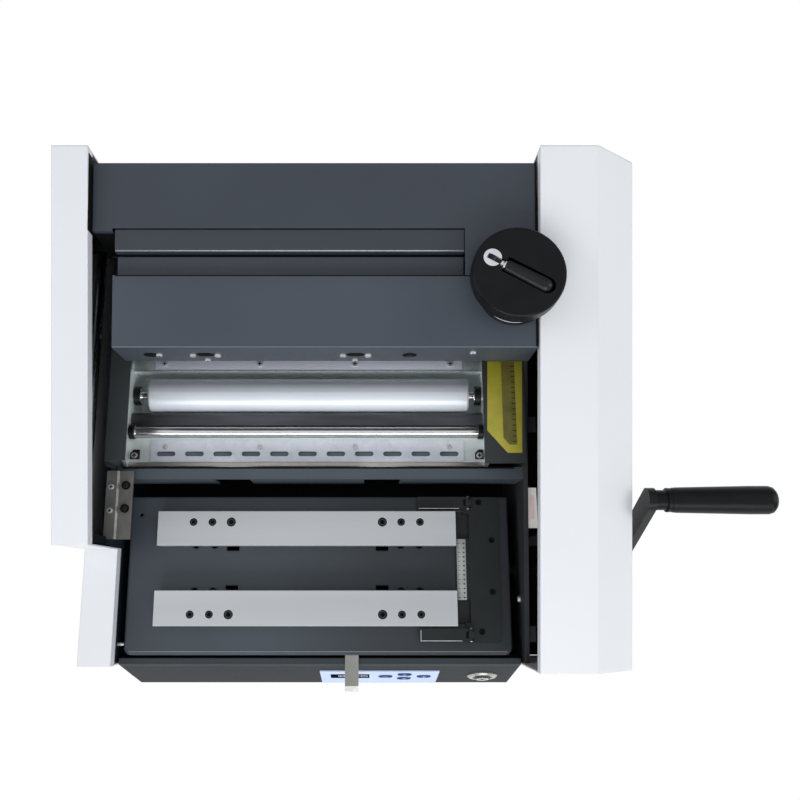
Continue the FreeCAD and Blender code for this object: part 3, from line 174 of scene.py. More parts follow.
casingWhite = {"pale": (0.75, 0.757, 0.78), "deep": (0.725, 0.732, 0.755), "rough": (0.34, 0.44),
               "patch": 5.0, "grain": 900.0, "relief": 0.04, "edge": 2.0}
paint(("left_upper_cover", "left_base_cover", "right_cover"), coat("casingWhite", casingWhite))

# painted shade: the cover gets darker towards its rear
carriagePaint = {"pale": (0.055, 0.067, 0.086), "deep": (0.048, 0.058, 0.075), "rough": (0.38, 0.5),
                 "patch": 7.0, "grain": 1100.0, "relief": 0.06, "sheen": 0.4, "edge": 0.8,
                 "shade": ("Y", 0.13, 0.2, 0.25)}
paint(("carriage_cover",), coat("carriagePaint", carriagePaint))

jawPaint = {"pale": (0.040, 0.047, 0.059), "deep": (0.034, 0.041, 0.052), "rough": (0.36, 0.46),
            "patch": 14.0, "stretch": (0.3, 1, 1), "grain": 900.0, "sheen": 0.4, "edge": 1.0}
paint(("rear_jaw", "front_jaw"), coat("jawPaint", jawPaint))

wallPaint = {"pale": (0.016, 0.025, 0.038), "deep": (0.011, 0.017, 0.027), "rough": (0.42, 0.56),
             "patch": 12.0, "grain": 1000.0, "relief": 0.07, "sheen": 0.4}
paint(("left_side_wall",), coat("wallPaint", wallPaint))

shelfPaint = {"pale": (0.036, 0.041, 0.043), "deep": (0.028, 0.032, 0.034), "rough": (0.42, 0.56),
              "patch": 12.0, "grain": 1000.0, "relief": 0.07, "sheen": 0.4, "edge": 0.8}
paint(("left_shelf", "right_shelf", "rear_panel"), coat("shelfPaint", shelfPaint))

rightWallPaint = {"pale": (0.038, 0.041, 0.043), "deep": (0.030, 0.032, 0.034), "rough": (0.42, 0.56),
                  "patch": 12.0, "sheen": 0.4, "edge": 0.8}
paint(("right_side_wall",), coat("rightWallPaint", rightWallPaint))

# painted shade: the table gets darker towards its right end
trayPaint = {"pale": (0.044, 0.056, 0.069), "deep": (0.035, 0.045, 0.056), "rough": (0.4, 0.52), "patch": 8.0,
             "grain": 1000.0, "relief": 0.04, "edge": 3.0, "shade": ("X", -0.16, 0.05, 0.7)}
paint(("press_tray",), coat("trayPaint", trayPaint))

beamPaint = {"pale": (0.078, 0.097, 0.115), "deep": (0.058, 0.072, 0.087), "rough": (0.4, 0.52), "patch": 6.0,
             "grain": 1000.0, "relief": 0.08, "sheen": 0.4}
paint(("cross_beam",), coat("beamPaint", beamPaint))

# painted shade: the leaning face of the panel is painted darker than its flange
panelPaint = {"pale": (0.046, 0.053, 0.061), "deep": (0.039, 0.046, 0.053), "rough": (0.55, 0.65),
              "patch": 10.0, "sheen": 0.08, "edge": 1.2, "shade": ("Y", -0.2425, -0.2445, 0.44)}
paint(("front_panel",), coat("panelPaint", panelPaint))

guidePaint = {"pale": (0.014, 0.0178, 0.0188), "deep": (0.010, 0.0125, 0.0135), "rough": (0.4, 0.52),
              "patch": 24.0, "grain": 900.0, "sheen": 0.3}
paint(("side_guide", "front_clip", "rear_clip"), coat("guidePaint", guidePaint))

# near-black for the inner parts: partly their own dark finish, partly painted shade inside the machine
innerBlack = {"pale": (0.006, 0.0065, 0.007), "deep": (0.004, 0.0042, 0.0045), "rough": (0.6, 0.75),
              "patch": 20.0, "sheen": 0.2}
paint(("base_plate", "slot_plates", "cam_shaft", "table_posts", "shaft_bearings", "rod_supports",
       "carriage_bearings", "carriage_plate", "jaw_beam", "gear_motor"), coat("innerBlack", innerBlack))

barAluminium = {"pale": (0.53, 0.545, 0.56), "deep": (0.47, 0.485, 0.50), "rough": (0.38, 0.48),
                "metal": 0.35, "patch": 26.0, "stretch": (0.05, 1, 1), "grain": 400.0, "relief": 0.03}
paint(("front_nip_bar", "rear_nip_bar"), coat("barAluminium", barAluminium))

rollerAluminium = {"pale": (0.86, 0.90, 0.96), "deep": (0.83, 0.87, 0.94), "rough": (0.34, 0.4),
                   "metal": 0.15, "patch": 14.0, "grain": 500.0, "relief": 0.004}
paint(("glue_roller",), coat("rollerAluminium", rollerAluminium))

rodSteel = {"pale": (0.78, 0.78, 0.77), "deep": (0.70, 0.70, 0.70), "rough": (0.16, 0.2), "metal": 0.9,
            "patch": 30.0, "stretch": (0.3, 1, 1), "grain": 200.0, "relief": 0.0}
paint(("rod_roller", "roller_shaft", "clamp_screw", "wheel_shaft", "motor_pinion", "cutter_disc",
       "cutter_slide"),
      coat("rodSteel", rodSteel))

# painted shade: the rods are dark steel, so they stay as dark as the gaps they run in
darkRodSteel = {"pale": (0.10, 0.105, 0.11), "deep": (0.06, 0.063, 0.067), "rough": (0.2, 0.32), "metal": 1.0,
              "patch": 40.0, "stretch": (1, 0.2, 1), "grain": 600.0}
paint(("guide_rods", "jaw_guide_rods"), coat("darkRodSteel", darkRodSteel))

stripSteel = {"pale": (0.36, 0.35, 0.325), "deep": (0.29, 0.28, 0.26), "rough": (0.34, 0.46), "metal": 0.85,
              "patch": 40.0, "stretch": (0.4, 1, 1), "grain": 500.0}
paint(("front_strip",), coat("stripSteel", stripSteel))

nickel = {"pale": (0.27, 0.265, 0.25), "deep": (0.18, 0.175, 0.165), "rough": (0.3, 0.44), "metal": 0.55,
          "patch": 45.0, "grain": 600.0}
paint(("left_bracket",), coat("nickel", nickel))

blackPlastic = {"pale": (0.0085, 0.0088, 0.0094), "deep": (0.0062, 0.0064, 0.0068), "rough": (0.3, 0.4),
                "patch": 40.0, "grain": 1200.0, "relief": 0.05, "sheen": 0.13}
paint(("handwheel", "lever_grip", "power_inlet"), coat("blackPlastic", blackPlastic))

gripPlastic = {"pale": (0.0085, 0.0088, 0.0094), "deep": (0.0062, 0.0064, 0.0068), "rough": (0.3, 0.36),
               "patch": 40.0, "grain": 300.0, "relief": 0.0, "sheen": 0.3}
paint(("folding_handle",), coat("gripPlastic", gripPlastic))

leverPaint = {"pale": (0.009, 0.010, 0.011), "deep": (0.006, 0.007, 0.008), "rough": (0.3, 0.42),
              "patch": 30.0, "sheen": 0.18}
paint(("lever_arm",), coat("leverPaint", leverPaint))

footRubber = {"pale": (0.022, 0.022, 0.022), "deep": (0.015, 0.015, 0.015), "rough": (0.7, 0.85),
              "patch": 40.0}
paint(("rubber_feet",), coat("footRubber", footRubber))

chrome = {"pale": (0.80, 0.81, 0.84), "deep": (0.66, 0.67, 0.70), "rough": (0.14, 0.22), "metal": 0.6,
          "patch": 80.0}
chromeFinish = coat("chrome", chrome)
paint(("handle_clevis",), chromeFinish)

bezelNickel = {"pale": (0.50, 0.50, 0.47), "deep": (0.40, 0.40, 0.38), "rough": (0.24, 0.34), "metal": 1.0,
               "patch": 80.0}
paint(("switch_bezel",), coat("bezelNickel", bezelNickel))

switchCore = {"pale": (0.32, 0.32, 0.31), "deep": (0.24, 0.24, 0.235), "rough": (0.25, 0.35), "metal": 1.0,
              "patch": 90.0}
paint(("switch_plug",), coat("switchCore", switchCore))

labelPlate = {"pale": (0.52, 0.63, 0.86), "deep": (0.46, 0.57, 0.81), "rough": (0.32, 0.42), "patch": 30.0}
paint(("control_plate",), coat("labelPlate", labelPlate))

displayGlass = {"pale": (0.010, 0.012, 0.018), "deep": (0.006, 0.008, 0.012), "rough": (0.4, 0.5),
                "patch": 60.0, "sheen": 0.0}
paint(("display_window",), coat("displayGlass", displayGlass))

keyRubber = {"pale": (0.045, 0.08, 0.21), "deep": (0.035, 0.062, 0.17), "rough": (0.55, 0.65), "patch": 70.0,
             "sheen": 0.0}
paint(("key_up", "key_down", "key_left", "key_right"), coat("keyRubber", keyRubber))


# Galvanised sheet: flat crystals of slightly different tone and gloss, with glue stains.
def galvanised(name, look):
    material, tree, shader, place = blank(name)
    cells = newNode(tree, "ShaderNodeTexVoronoi", Scale=look["crystal"])
    link(tree, place, cells.inputs["Vector"])
    split = newNode(tree, "ShaderNodeSeparateColor")
    link(tree, cells.outputs["Color"], split.inputs["Color"])
    base = between(tree, split.outputs["Red"], look["deep"], look["pale"])
    stain = cloud(tree, place, look["stainSize"], stretch=(0.5, 1, 1), detail=5.0, low=0.48, high=0.75)
    mix = newNode(tree, "ShaderNodeMix", data_type="RGBA")
    mix.inputs[secondColour].default_value = (*look["stain"], 1)
    link(tree, base, mix.inputs[firstColour])
    link(tree, ranged(tree, stain, 0.0, look["stainAmount"]), mix.inputs[0])
    link(tree, mix.outputs[mixedColour], shader.inputs["Base Color"])
    link(tree, ranged(tree, split.outputs["Green"], *look["rough"]), shader.inputs["Roughness"])
    shader.inputs["Metallic"].default_value = look["metal"]
    return material


panZinc = {"crystal": 150.0, "pale": (0.93, 1.0, 0.99), "deep": (0.87, 0.95, 0.94), "rough": (0.34, 0.46),
           "metal": 0.15, "stainSize": 22.0, "stain": (0.40, 0.36, 0.31), "stainAmount": 0.25}
zincFinish = galvanised("panZinc", panZinc)
paint(("glue_pan", "pan_end_plates"), zincFinish)

plateZinc = {"crystal": 150.0, "pale": (0.90, 0.93, 1.0), "deep": (0.82, 0.85, 0.94), "rough": (0.34, 0.46),
             "metal": 0.25, "stainSize": 22.0, "stain": (0.26, 0.24, 0.24), "stainAmount": 0.25}
paint(("pan_front_plate",), galvanised("plateZinc", plateZinc))

scraperSteel = {"pale": (0.15, 0.15, 0.175), "deep": (0.05, 0.048, 0.05), "rough": (0.3, 0.45), "metal": 0.5,
                "patch": 60.0, "stretch": (0.12, 1, 1), "grain": 500.0}
paint(("glue_scraper",), coat("scraperSteel", scraperSteel))
print("stage: materials")


# Turns a profile of (radius, height) pairs in millimetres about its own upright axis.
def turned(profile, steps=24, ring=False):
    mesh = bmesh.new()
    points = [mesh.verts.new((radius / 1000, 0, height / 1000)) for radius, height in profile]
    edges = [mesh.edges.new(pair) for pair in zip(points, points[1:])]
    if ring:
        edges.append(mesh.edges.new((points[-1], points[0])))
    bmesh.ops.spin(mesh, geom=points + edges, cent=(0, 0, 0), axis=(0, 0, 1), angle=2 * math.pi, steps=steps,
                   use_merge=True)
    bmesh.ops.remove_doubles(mesh, verts=mesh.verts, dist=1e-7)
    return mesh


# Rounds edges over a width in millimetres.
def softened(mesh, edges, width, segments=2):
    bmesh.ops.bevel(mesh, geom=edges, offset=width / 1000, affect="EDGES", segments=segments, profile=0.5,
                    material=-1)


# The edges that lie at a height in millimetres or above it.
def edgesAbove(mesh, height):
    return [edge for edge in mesh.edges if min(vert.co.z for vert in edge.verts) > height / 1000 - 1e-6]


# Extrudes faces by a height in millimetres and gives the vertices that moved.
def raised(mesh, faces, height):
    made = bmesh.ops.extrude_face_region(mesh, geom=faces)
    moved = [item for item in made["geom"] if isinstance(item, bmesh.types.BMVert)]
    bmesh.ops.translate(mesh, verts=moved, vec=(0, 0, height / 1000))
    return moved


# A flat plate from its outline in millimetres, with a softened upper edge.
def plate(outline, thick, soft=0.0):
    mesh = bmesh.new()
    face = mesh.faces.new([mesh.verts.new((x / 1000, y / 1000, 0)) for x, y in outline])
    raised(mesh, [face], thick)
    if soft:
        softened(mesh, edgesAbove(mesh, thick), soft)
    return mesh


# A box that stands on its place, with a softened upper edge.
def bar(width, depth, thick, soft=0.0):
    mesh = bmesh.new()
    bmesh.ops.create_cube(mesh, size=1.0)
    bmesh.ops.scale(mesh, vec=(width / 1000, depth / 1000, thick / 1000), verts=mesh.verts)
    bmesh.ops.translate(mesh, vec=(0, 0, thick / 2000), verts=mesh.verts)
    if soft:
        softened(mesh, edgesAbove(mesh, thick), soft)
    return mesh


# Screw heads, in shares of the head's size or radius; a slot and a cross have a reach and half a width.
headForm = {"rim": 0.07, "inset": 0.2, "recess": 0.55, "hex": 0.6, "slot": (0.9, 0.13), "cross": (0.68, 0.16)}


# How far the edge of a recess lies from the middle in each direction; one is the head's own radius.
def recessReach(kind, turn):
    if kind == "hex":
        return headForm["hex"] * math.cos(math.pi / 6) / math.cos((turn % (math.pi / 3)) - math.pi / 6)
    reach, half = headForm[kind]
    off = abs(math.sin(turn)) if kind == "slot" else min(abs(math.sin(turn)), abs(math.cos(turn)))
    return min(reach, half / max(off, 0.001))


# A screw head: a disc with a softened rim, and a recess let into its top.
def screwHead(size, height, recess="hex", steps=24):
    mesh = bmesh.new()
    r = size / 2000
    bmesh.ops.create_cone(mesh, cap_ends=True, segments=steps, radius1=r, radius2=r, depth=height / 1000)
    bmesh.ops.translate(mesh, vec=(0, 0, height / 2000), verts=mesh.verts)
    softened(mesh, edgesAbove(mesh, height), size * headForm["rim"])
    top = max(mesh.faces, key=lambda face: face.calc_center_median().z + face.calc_area())
    bmesh.ops.inset_region(mesh, faces=[top], thickness=r * headForm["inset"])
    for vert in top.verts:
        turn = math.atan2(vert.co.y, vert.co.x)
        reach = r * recessReach(recess, turn) / math.hypot(vert.co.x, vert.co.y)
        vert.co.x *= reach
        vert.co.y *= reach
    for vert in raised(mesh, [top], -height * headForm["recess"]):
        for face in vert.link_faces:
            face.material_index = 1
    bmesh.ops.delete(mesh, geom=[top], context="FACES_ONLY")
    return mesh


# The matrix that puts a shape at a place and turns its own Z to a direction.
def facing(place, direction=(0, 0, 1)):
    turn = Vector((0, 0, 1)).rotation_difference(Vector(direction)).to_matrix().to_4x4()
    return Matrix.Translation(place) @ turn


# Puts a shape into a piece's mesh at its place. The slots count the materials given to settle; the second one
# is for the faces of a screw's recess.
def add(mesh, shape, matrix, slot=0, recess=None):
    bmesh.ops.recalc_face_normals(shape, faces=shape.faces)
    bmesh.ops.transform(shape, matrix=matrix, verts=shape.verts)
    for face in shape.faces:
        face.material_index = slot if recess is None or not face.material_index else recess
    data = bpy.data.meshes.new("shape")
    shape.to_mesh(data)
    shape.free()
    mesh.from_mesh(data)
    bpy.data.meshes.remove(data)


# Adds a flat bar of a width, depth and thickness at a place, with a softened upper edge.
def lay(mesh, size, place, slot=0, soft=0.0):
    add(mesh, bar(*size, soft), Matrix.Translation(place), slot)


# Makes a piece from its mesh, smooth but for edges sharper than the crease, and seats it on its body.
def settle(name, mesh, materials, body, crease=32.0):
    for face in mesh.faces:
        face.smooth = True
    for edge in mesh.edges:
        edge.smooth = len(edge.link_faces) == 2 and edge.calc_face_angle(0) < math.radians(crease)
    data = bpy.data.meshes.new(name)
    mesh.to_mesh(data)
    mesh.free()
    piece = bpy.data.objects.new(name, data)
    bpy.context.scene.collection.objects.link(piece)
    for material in materials:
        data.materials.append(material)
    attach(piece, body)
    return piece


# finishes of the small pieces
screwBlack = coat("screwBlack", {"pale": (0.036, 0.036, 0.038), "deep": (0.022, 0.022, 0.024),
                                 "rough": (0.3, 0.42), "metal": 0.5, "patch": 90.0})
screwZinc = coat("screwZinc", {"pale": (0.74, 0.74, 0.74), "deep": (0.56, 0.56, 0.56), "rough": (0.24, 0.36),
                               "metal": 0.55, "patch": 90.0})
# bright steel: painted highlight on the bore rims and the fingers' edges, and the own colour of the finger
# pins
highlightSteel = coat("highlightSteel", {"pale": (0.70, 0.70, 0.71), "deep": (0.60, 0.60, 0.61), "rough": (0.3, 0.4),
                                 "metal": 0.7, "patch": 90.0})
plainSteel = coat("plainSteel", {"pale": (0.78, 0.80, 0.90), "deep": (0.62, 0.64, 0.74),
                                 "rough": (0.34, 0.44), "metal": 0.15, "patch": 30.0, "stretch": (0.1, 1, 1)})
greenZinc = coat("greenZinc", {"pale": (0.55, 0.62, 0.60), "deep": (0.42, 0.48, 0.46), "rough": (0.34, 0.46),
                               "metal": 0.6, "patch": 40.0})
warmZinc = coat("warmZinc", {"pale": (0.62, 0.59, 0.52), "deep": (0.50, 0.47, 0.41), "rough": (0.3, 0.4),
                             "metal": 0.6, "patch": 40.0})
slotSteel = coat("slotSteel", {"pale": (0.21, 0.23, 0.26), "deep": (0.16, 0.18, 0.21), "rough": (0.4, 0.55),
                               "patch": 30.0})
# painted shade: near-black for holes, recesses, bores and strips that stand in for shadow; also the colour of
# the side guide's black screws
holeBlack = coat("holeBlack", {"pale": (0.004, 0.004, 0.004), "deep": (0.002, 0.002, 0.002),
                               "rough": (0.7, 0.85), "sheen": 0.15})
# painted highlights: pale paint and bright steel for thin strips that stand in for light on edges and rims
edgePaint = coat("edgePaint", {"pale": (0.150, 0.160, 0.180), "deep": (0.125, 0.135, 0.155),
                               "rough": (0.34, 0.44), "patch": 20.0, "stretch": (0.2, 1, 1)})
edgeBright = coat("edgeBright", {"pale": (0.27, 0.28, 0.30), "deep": (0.23, 0.24, 0.26), "rough": (0.3, 0.4),
                                 "metal": 0.2, "patch": 20.0, "stretch": (0.2, 1, 1)})
blackSteel = coat("blackSteel", {"pale": (0.014, 0.014, 0.014), "deep": (0.007, 0.007, 0.007),
                                 "rough": (0.35, 0.5), "metal": 0.3, "patch": 60.0})

# nip bar screws: a bright rim round each bore as a painted highlight, a cup of painted shade in each bore, a
# big head over each draw post and two smaller ones further out, each head with a recess of painted shade
barTop = topOf("front_nip_bar")
barScrew = {"row": 50.5, "posts": 85.0, "pitch": 21.2, "centre": -15.0, "sink": 3.4, "heads": (9.0, 7.4, 7.4),
            "height": 3.0, "bores": (10.4, 8.8, 8.8), "rim": 0.55}
for label, side in (("front", -1), ("rear", 1)):
    mesh = bmesh.new()
    for way in (-1, 1):
        for i in range(3):
            x = barScrew["centre"] + way * (barScrew["posts"] + i * barScrew["pitch"])
            y = side * barScrew["row"]
            r = barScrew["bores"][i] / 2
            rim = turned([(r, 0.02), (r + 0.1, 0.1), (r + barScrew["rim"], 0.02)], ring=True)
            add(mesh, rim, Matrix.Translation(at(x, y, barTop)), 1)
            deep = -barScrew["sink"]
            cup = turned([(0, deep - 0.3), (r - 0.1, deep - 0.3), (r - 0.1, -0.1), (r - 0.2, -0.1),
                          (r - 0.2, deep), (0, deep)])
            add(mesh, cup, Matrix.Translation(at(x, y, barTop)), 0)
            add(mesh, screwHead(barScrew["heads"][i], barScrew["height"]),
                facing(at(x, y, barTop + deep)), 2, 0)
    settle(label + "_bar_screws", mesh, [holeBlack, highlightSteel, screwBlack], label + "_bar")


# A flat oval of a given width and height.
def oval(width, height, thick):
    mesh = bmesh.new()
    bmesh.ops.create_circle(mesh, cap_ends=True, segments=32, radius=height / 2000)
    for vert in mesh.verts:
        vert.co.x += math.copysign((width - height) / 2000, vert.co.x) if abs(vert.co.x) > 1e-6 else 0
    raised(mesh, list(mesh.faces), thick)
    return mesh


# folded front wall of the carriage: screws beside its two slots, single ones and a dark one, their recesses
# in painted shade, and four black ovals of painted shade over its slots and holes
wallY = (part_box("carriage_cover")[0].y - bedY) * 1000
wallScrews = ({"head": (6.8, 2.6, "slot"), "slot": 1,
               "places": ((-126.1, 268), (-100.5, 268), (27.9, 268), (53.6, 268))},
              {"head": (6.6, 2.4, "cross"), "slot": 1,
               "places": ((-114.0, 250), (40.0, 250), (160.2, 277.5), (-160.4, 269.0))},
              {"head": (5.8, 2.0, "cross"), "slot": 2, "places": ((96.3, 266.0),)})
wallHoleShadows = {"thick": 0.25, "places": ((-113.3, 268.0, 18.0, 12.0), (40.7, 268.0, 18.0, 12.0),
                                       (-169.5, 267.0, 15.0, 14.8), (96.3, 266.0, 15.0, 14.8))}
mesh = bmesh.new()
for screw in wallScrews:
    for x, z in screw["places"]:
        add(mesh, screwHead(*screw["head"]), facing(at(x, wallY, z), (0, -1, 0)), screw["slot"], 0)
for x, z, width, height in wallHoleShadows["places"]:
    add(mesh, oval(width, height, wallHoleShadows["thick"]), facing(at(x, wallY, z), (0, -1, 0)), 0)
settle("carriage_wall_screws", mesh, [holeBlack, screwZinc, screwBlack], "carriage")

# rear strip of the glue tank with four cross screws, their recesses in painted shade, a bright bar of painted
# highlight along its front edge, and the pale plates beyond its ends
ledge = topOf("pan_front_plate") - 1.5
rearStrip = {"left": -197.0, "right": 165.0, "front": 227.8, "rear": 242.0, "thick": 1.6,
             "ends": (-222.0, 187.6), "gap": 0.6, "lip": (0.9, 2.6), "head": (7.0, 2.4, "cross"),
             "screwY": 236.0, "screws": (-185.8, -73.5, 38.7, 150.9)}
middleY = (rearStrip["front"] + rearStrip["rear"]) / 2
depth = rearStrip["rear"] - rearStrip["front"]
endLeft, endRight = rearStrip["ends"]
mesh = bmesh.new()
for slot, x0, x1 in ((0, rearStrip["left"], rearStrip["right"]),
                     (2, endLeft, rearStrip["left"] - rearStrip["gap"]),
                     (2, rearStrip["right"] + rearStrip["gap"], endRight)):
    lay(mesh, (x1 - x0, depth, rearStrip["thick"]), at((x0 + x1) / 2, middleY, ledge), slot, 0.3)
lay(mesh, (endRight - endLeft, *rearStrip["lip"]),
    at((endLeft + endRight) / 2, rearStrip["front"] - 0.5, ledge), 1, 0.2)
for x in rearStrip["screws"]:
    add(mesh, screwHead(*rearStrip["head"]),
        facing(at(x, rearStrip["screwY"], ledge + rearStrip["thick"])), 1, 3)
settle("pan_rear_strip", mesh, [plainSteel, screwZinc, greenZinc, holeBlack], "base")

# front of the tank: plate screws, corner brackets with their own screws, whose recesses are painted shade,
# the warm lower lip, the steel under the eleven slots and a black line of painted shadow below the lip
frontPlate = {"screws": (-179.5, -70.8, 38.9, 147.6), "screwY": 136.6, "head": (5.8, 2.0, "cross"),
              "brackets": ((-220.5, -209.5), (177.5, 187.0)), "bracketY": (118.0, 134.0), "thick": 2.0,
              "bracketHead": (7.0, 2.6, "cross")}
frontBars = ({"ends": (-222.0, 187.6), "y": 117.0, "size": (5.0, 1.0), "rise": 0.0, "soft": 0.3, "slot": 4},
             {"ends": (-191.0, 159.5), "y": 129.0, "size": (9.0, 1.0), "rise": -4.0, "soft": 0.0, "slot": 2},
             {"ends": (-222.0, 187.6), "y": 112.9, "size": (2.5, 1.0), "rise": -4.0, "soft": 0.0, "slot": 0})
mesh = bmesh.new()
for x in frontPlate["screws"]:
    add(mesh, screwHead(*frontPlate["head"]), facing(at(x, frontPlate["screwY"], ledge + 1.5)), 1)
for x0, x1 in frontPlate["brackets"]:
    y0, y1 = frontPlate["bracketY"]
    foot = plate([(x0, y0 + 5), (x1, y0 + 5), (x1, y1), (x0 + 4, y1), (x0, y1 - 4)], frontPlate["thick"], 0.4)
    add(mesh, foot, Matrix.Translation(at(0, 0, ledge)), 3)
    add(mesh, screwHead(*frontPlate["bracketHead"]),
        facing(at((x0 + x1) / 2, y0 + 9, ledge + frontPlate["thick"])), 1, 0)
for strip in frontBars:
    x0, x1 = strip["ends"]
    lay(mesh, (x1 - x0, *strip["size"]), at((x0 + x1) / 2, strip["y"], ledge + strip["rise"]), strip["slot"],
        strip["soft"])
settle("pan_front_trim", mesh, [holeBlack, screwZinc, slotSteel, blackSteel, warmZinc], "base")

# dark sleeves over the hubs of the roller and of the doctor rod
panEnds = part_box("pan_end_plates")
panInner = {"left": (panEnds[0].x - bedX) * 1000 + 5, "right": (panEnds[1].x - bedX) * 1000 - 5}
hubs = {"roller": {"node": "glue_roller", "body": "roller", "inner": 9.6, "outer": 11.2, "width": 7.5},
        "rod": {"node": "rod_roller", "body": "doctor_rod", "inner": 7.6, "outer": 8.6, "width": 6.5}}
for label, hub in hubs.items():
    low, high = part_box(hub["node"])
    outer, width = hub["outer"], hub["width"]
    mesh = bmesh.new()
    for x, way in ((panInner["left"], 1), (panInner["right"], -1)):
        sleeve = turned([(hub["inner"], 0), (outer - 0.5, 0), (outer, 0.6), (outer, width - 0.6),
                         (outer - 0.5, width), (hub["inner"], width)], ring=True)
        place = Vector((bedX + x / 1000, (low.y + high.y) / 2, (low.z + high.z) / 2))
        add(mesh, sleeve, facing(place, (way, 0, 0)))
    settle(label + "_sleeves", mesh, [blackSteel], hub["body"])


# Cuts a shape off beyond a plane across X and closes the cut.
def trimmed(mesh, x):
    parts = list(mesh.verts) + list(mesh.edges) + list(mesh.faces)
    made = bmesh.ops.bisect_plane(mesh, geom=parts, dist=1e-7, plane_co=(x / 1000, 0, 0), plane_no=(1, 0, 0),
                                  clear_outer=True)
    cut = [item for item in made["geom_cut"] if isinstance(item, bmesh.types.BMEdge)]
    bmesh.ops.holes_fill(mesh, edges=cut, sides=0)
    return mesh


# round seat under the handwheel: a black cap over the raised round and a bright ring, along the falling top
seat = {"place": (200.0, 272.4, 307.24), "fall": 0.17356, "radius": 38.3, "ring": 36.0, "trim": 21.3,
        "steps": 72}
shear = Matrix.Identity(4)
shear[2][1] = seat["fall"]
lie = Matrix.Translation(at(*seat["place"])) @ shear
mesh = bmesh.new()
radius, ringRadius = seat["radius"], seat["ring"]
cap = turned([(0, -3.0), (radius, -3.0), (radius, 0.0), (radius - 0.4, 0.3), (0, 0.3)], seat["steps"])
add(mesh, trimmed(cap, seat["trim"]), lie, 0)
ring = turned([(ringRadius - 0.9, 0.25), (ringRadius - 0.5, 0.75), (ringRadius + 0.5, 0.75),
               (ringRadius + 0.9, 0.25)], seat["steps"], True)
add(mesh, trimmed(ring, seat["trim"] - 0.1), lie, 1)
settle("wheel_seat_trim", mesh, [nodes["handwheel"].data.materials[0], chromeFinish], "carriage")

# painted shadow: a dark strip along the carriage's right edge, in the gap beside the right cover
edging = {"size": (1.7, 183.0, 0.3), "place": (222.0, 304.6, 309.78)}
mesh = bmesh.new()
add(mesh, bar(*edging["size"]), Matrix.Translation(at(*edging["place"])) @ shear)
settle("carriage_edging", mesh, [holeBlack], "carriage")

# chromed neck between the pivot and the grip of the folding handle
neck = {"wheel": (198.5, 274.0, 343.0), "drop": 4.0, "turn": math.radians(-28.9), "from": -19.6, "to": -14.4}
along = Vector((math.cos(neck["turn"]), math.sin(neck["turn"]), 0))
start = at(*neck["wheel"]) + along * neck["from"] / 1000 - Vector((0, 0, neck["drop"] / 1000))
reach = neck["to"] - neck["from"]
mesh = bmesh.new()
add(mesh, turned([(2.2, 0), (3.2, 0), (3.6, 0.5), (3.6, reach * 0.42), (2.9, reach * 0.5), (2.9, reach * 0.6),
                  (4.6, reach * 0.66), (4.6, reach), (2.2, reach)], 32, True), facing(start, along))
settle("handle_neck", mesh, [chromeFinish], "crank_handle")

# yellow plate on the right shelf, left bare, with a darker band and plain ticks
shelfTop = topOf("right_shelf")
yellowPlate = {"shape": ((187.6, 226.0), (185.1, 147.3), (206.8, 122.5), (222.6, 122.5), (226.3, 226.0)),
               "band": ((202.6, 225.6), (202.6, 139.0), (209.0, 131.5), (217.4, 131.5), (217.4, 225.6)),
               "thick": 0.3, "ink": 0.06, "ticks": 15, "pitch": 6.1, "first": 135.0, "tickX": 215.2,
               "tick": (4.2, 1.1)}
yellow = coat("yellowPlate", {"pale": (0.50, 0.45, 0.045), "deep": (0.42, 0.37, 0.03), "rough": (0.34, 0.42),
                              "patch": 60.0})
olive = coat("oliveBand", {"pale": (0.20, 0.18, 0.035), "deep": (0.12, 0.105, 0.02), "rough": (0.36, 0.44),
                           "patch": 70.0})
# black for printed ticks and figures, and painted shade in the keyhole of the lock plug
printAndShadeBlack = coat("printAndShadeBlack", {"pale": (0.02, 0.02, 0.022), "deep": (0.014, 0.014, 0.016), "rough": (0.5, 0.6)})
mesh = bmesh.new()
add(mesh, plate(yellowPlate["shape"], yellowPlate["thick"], 0.1), Matrix.Translation(at(0, 0, shelfTop)))
bandTop = shelfTop + yellowPlate["thick"]
ink = yellowPlate["ink"]
add(mesh, plate(yellowPlate["band"], ink), Matrix.Translation(at(0, 0, bandTop)), 1)
for i in range(yellowPlate["ticks"]):
    y = yellowPlate["first"] + i * yellowPlate["pitch"]
    lay(mesh, (*yellowPlate["tick"], ink), at(yellowPlate["tickX"], y, bandTop + ink), 2)
settle("yellow_plate", mesh, [yellow, olive, printAndShadeBlack], "base")

# millimetre strip between the bars
ruler = {"left": 154.9, "right": 165.1, "from": -35.2, "to": 32.5, "top": 129.0, "thick": 0.3, "first": 0.7,
         "count": 67, "ink": 0.06, "short": (1.8, 0.3), "long": (3.4, 0.55), "figure": (2.0, 1.5)}
rulerWhite = coat("rulerWhite", {"pale": (0.50, 0.51, 0.50), "deep": (0.38, 0.39, 0.38),
                                 "rough": (0.34, 0.44), "metal": 0.4, "patch": 80.0})
mesh = bmesh.new()
middle = at((ruler["left"] + ruler["right"]) / 2, (ruler["from"] + ruler["to"]) / 2, ruler["top"])
lay(mesh, (ruler["right"] - ruler["left"], ruler["to"] - ruler["from"], ruler["thick"]), middle, 0, 0.1)
face = ruler["top"] + ruler["thick"]
for i in range(ruler["count"]):
    y = ruler["from"] + ruler["first"] + i
    if i % 5 == 2:
        lay(mesh, (*ruler["long"], ruler["ink"]), at(ruler["left"] + 2.2, y, face), 1)
        lay(mesh, (*ruler["figure"], ruler["ink"]), at(ruler["right"] - 2.4, y, face), 1)
    else:
        lay(mesh, (*ruler["short"], ruler["ink"]), at(ruler["left"] + 1.2, y, face), 1)
settle("ruler_face", mesh, [rulerWhite, printAndShadeBlack], "press_table")

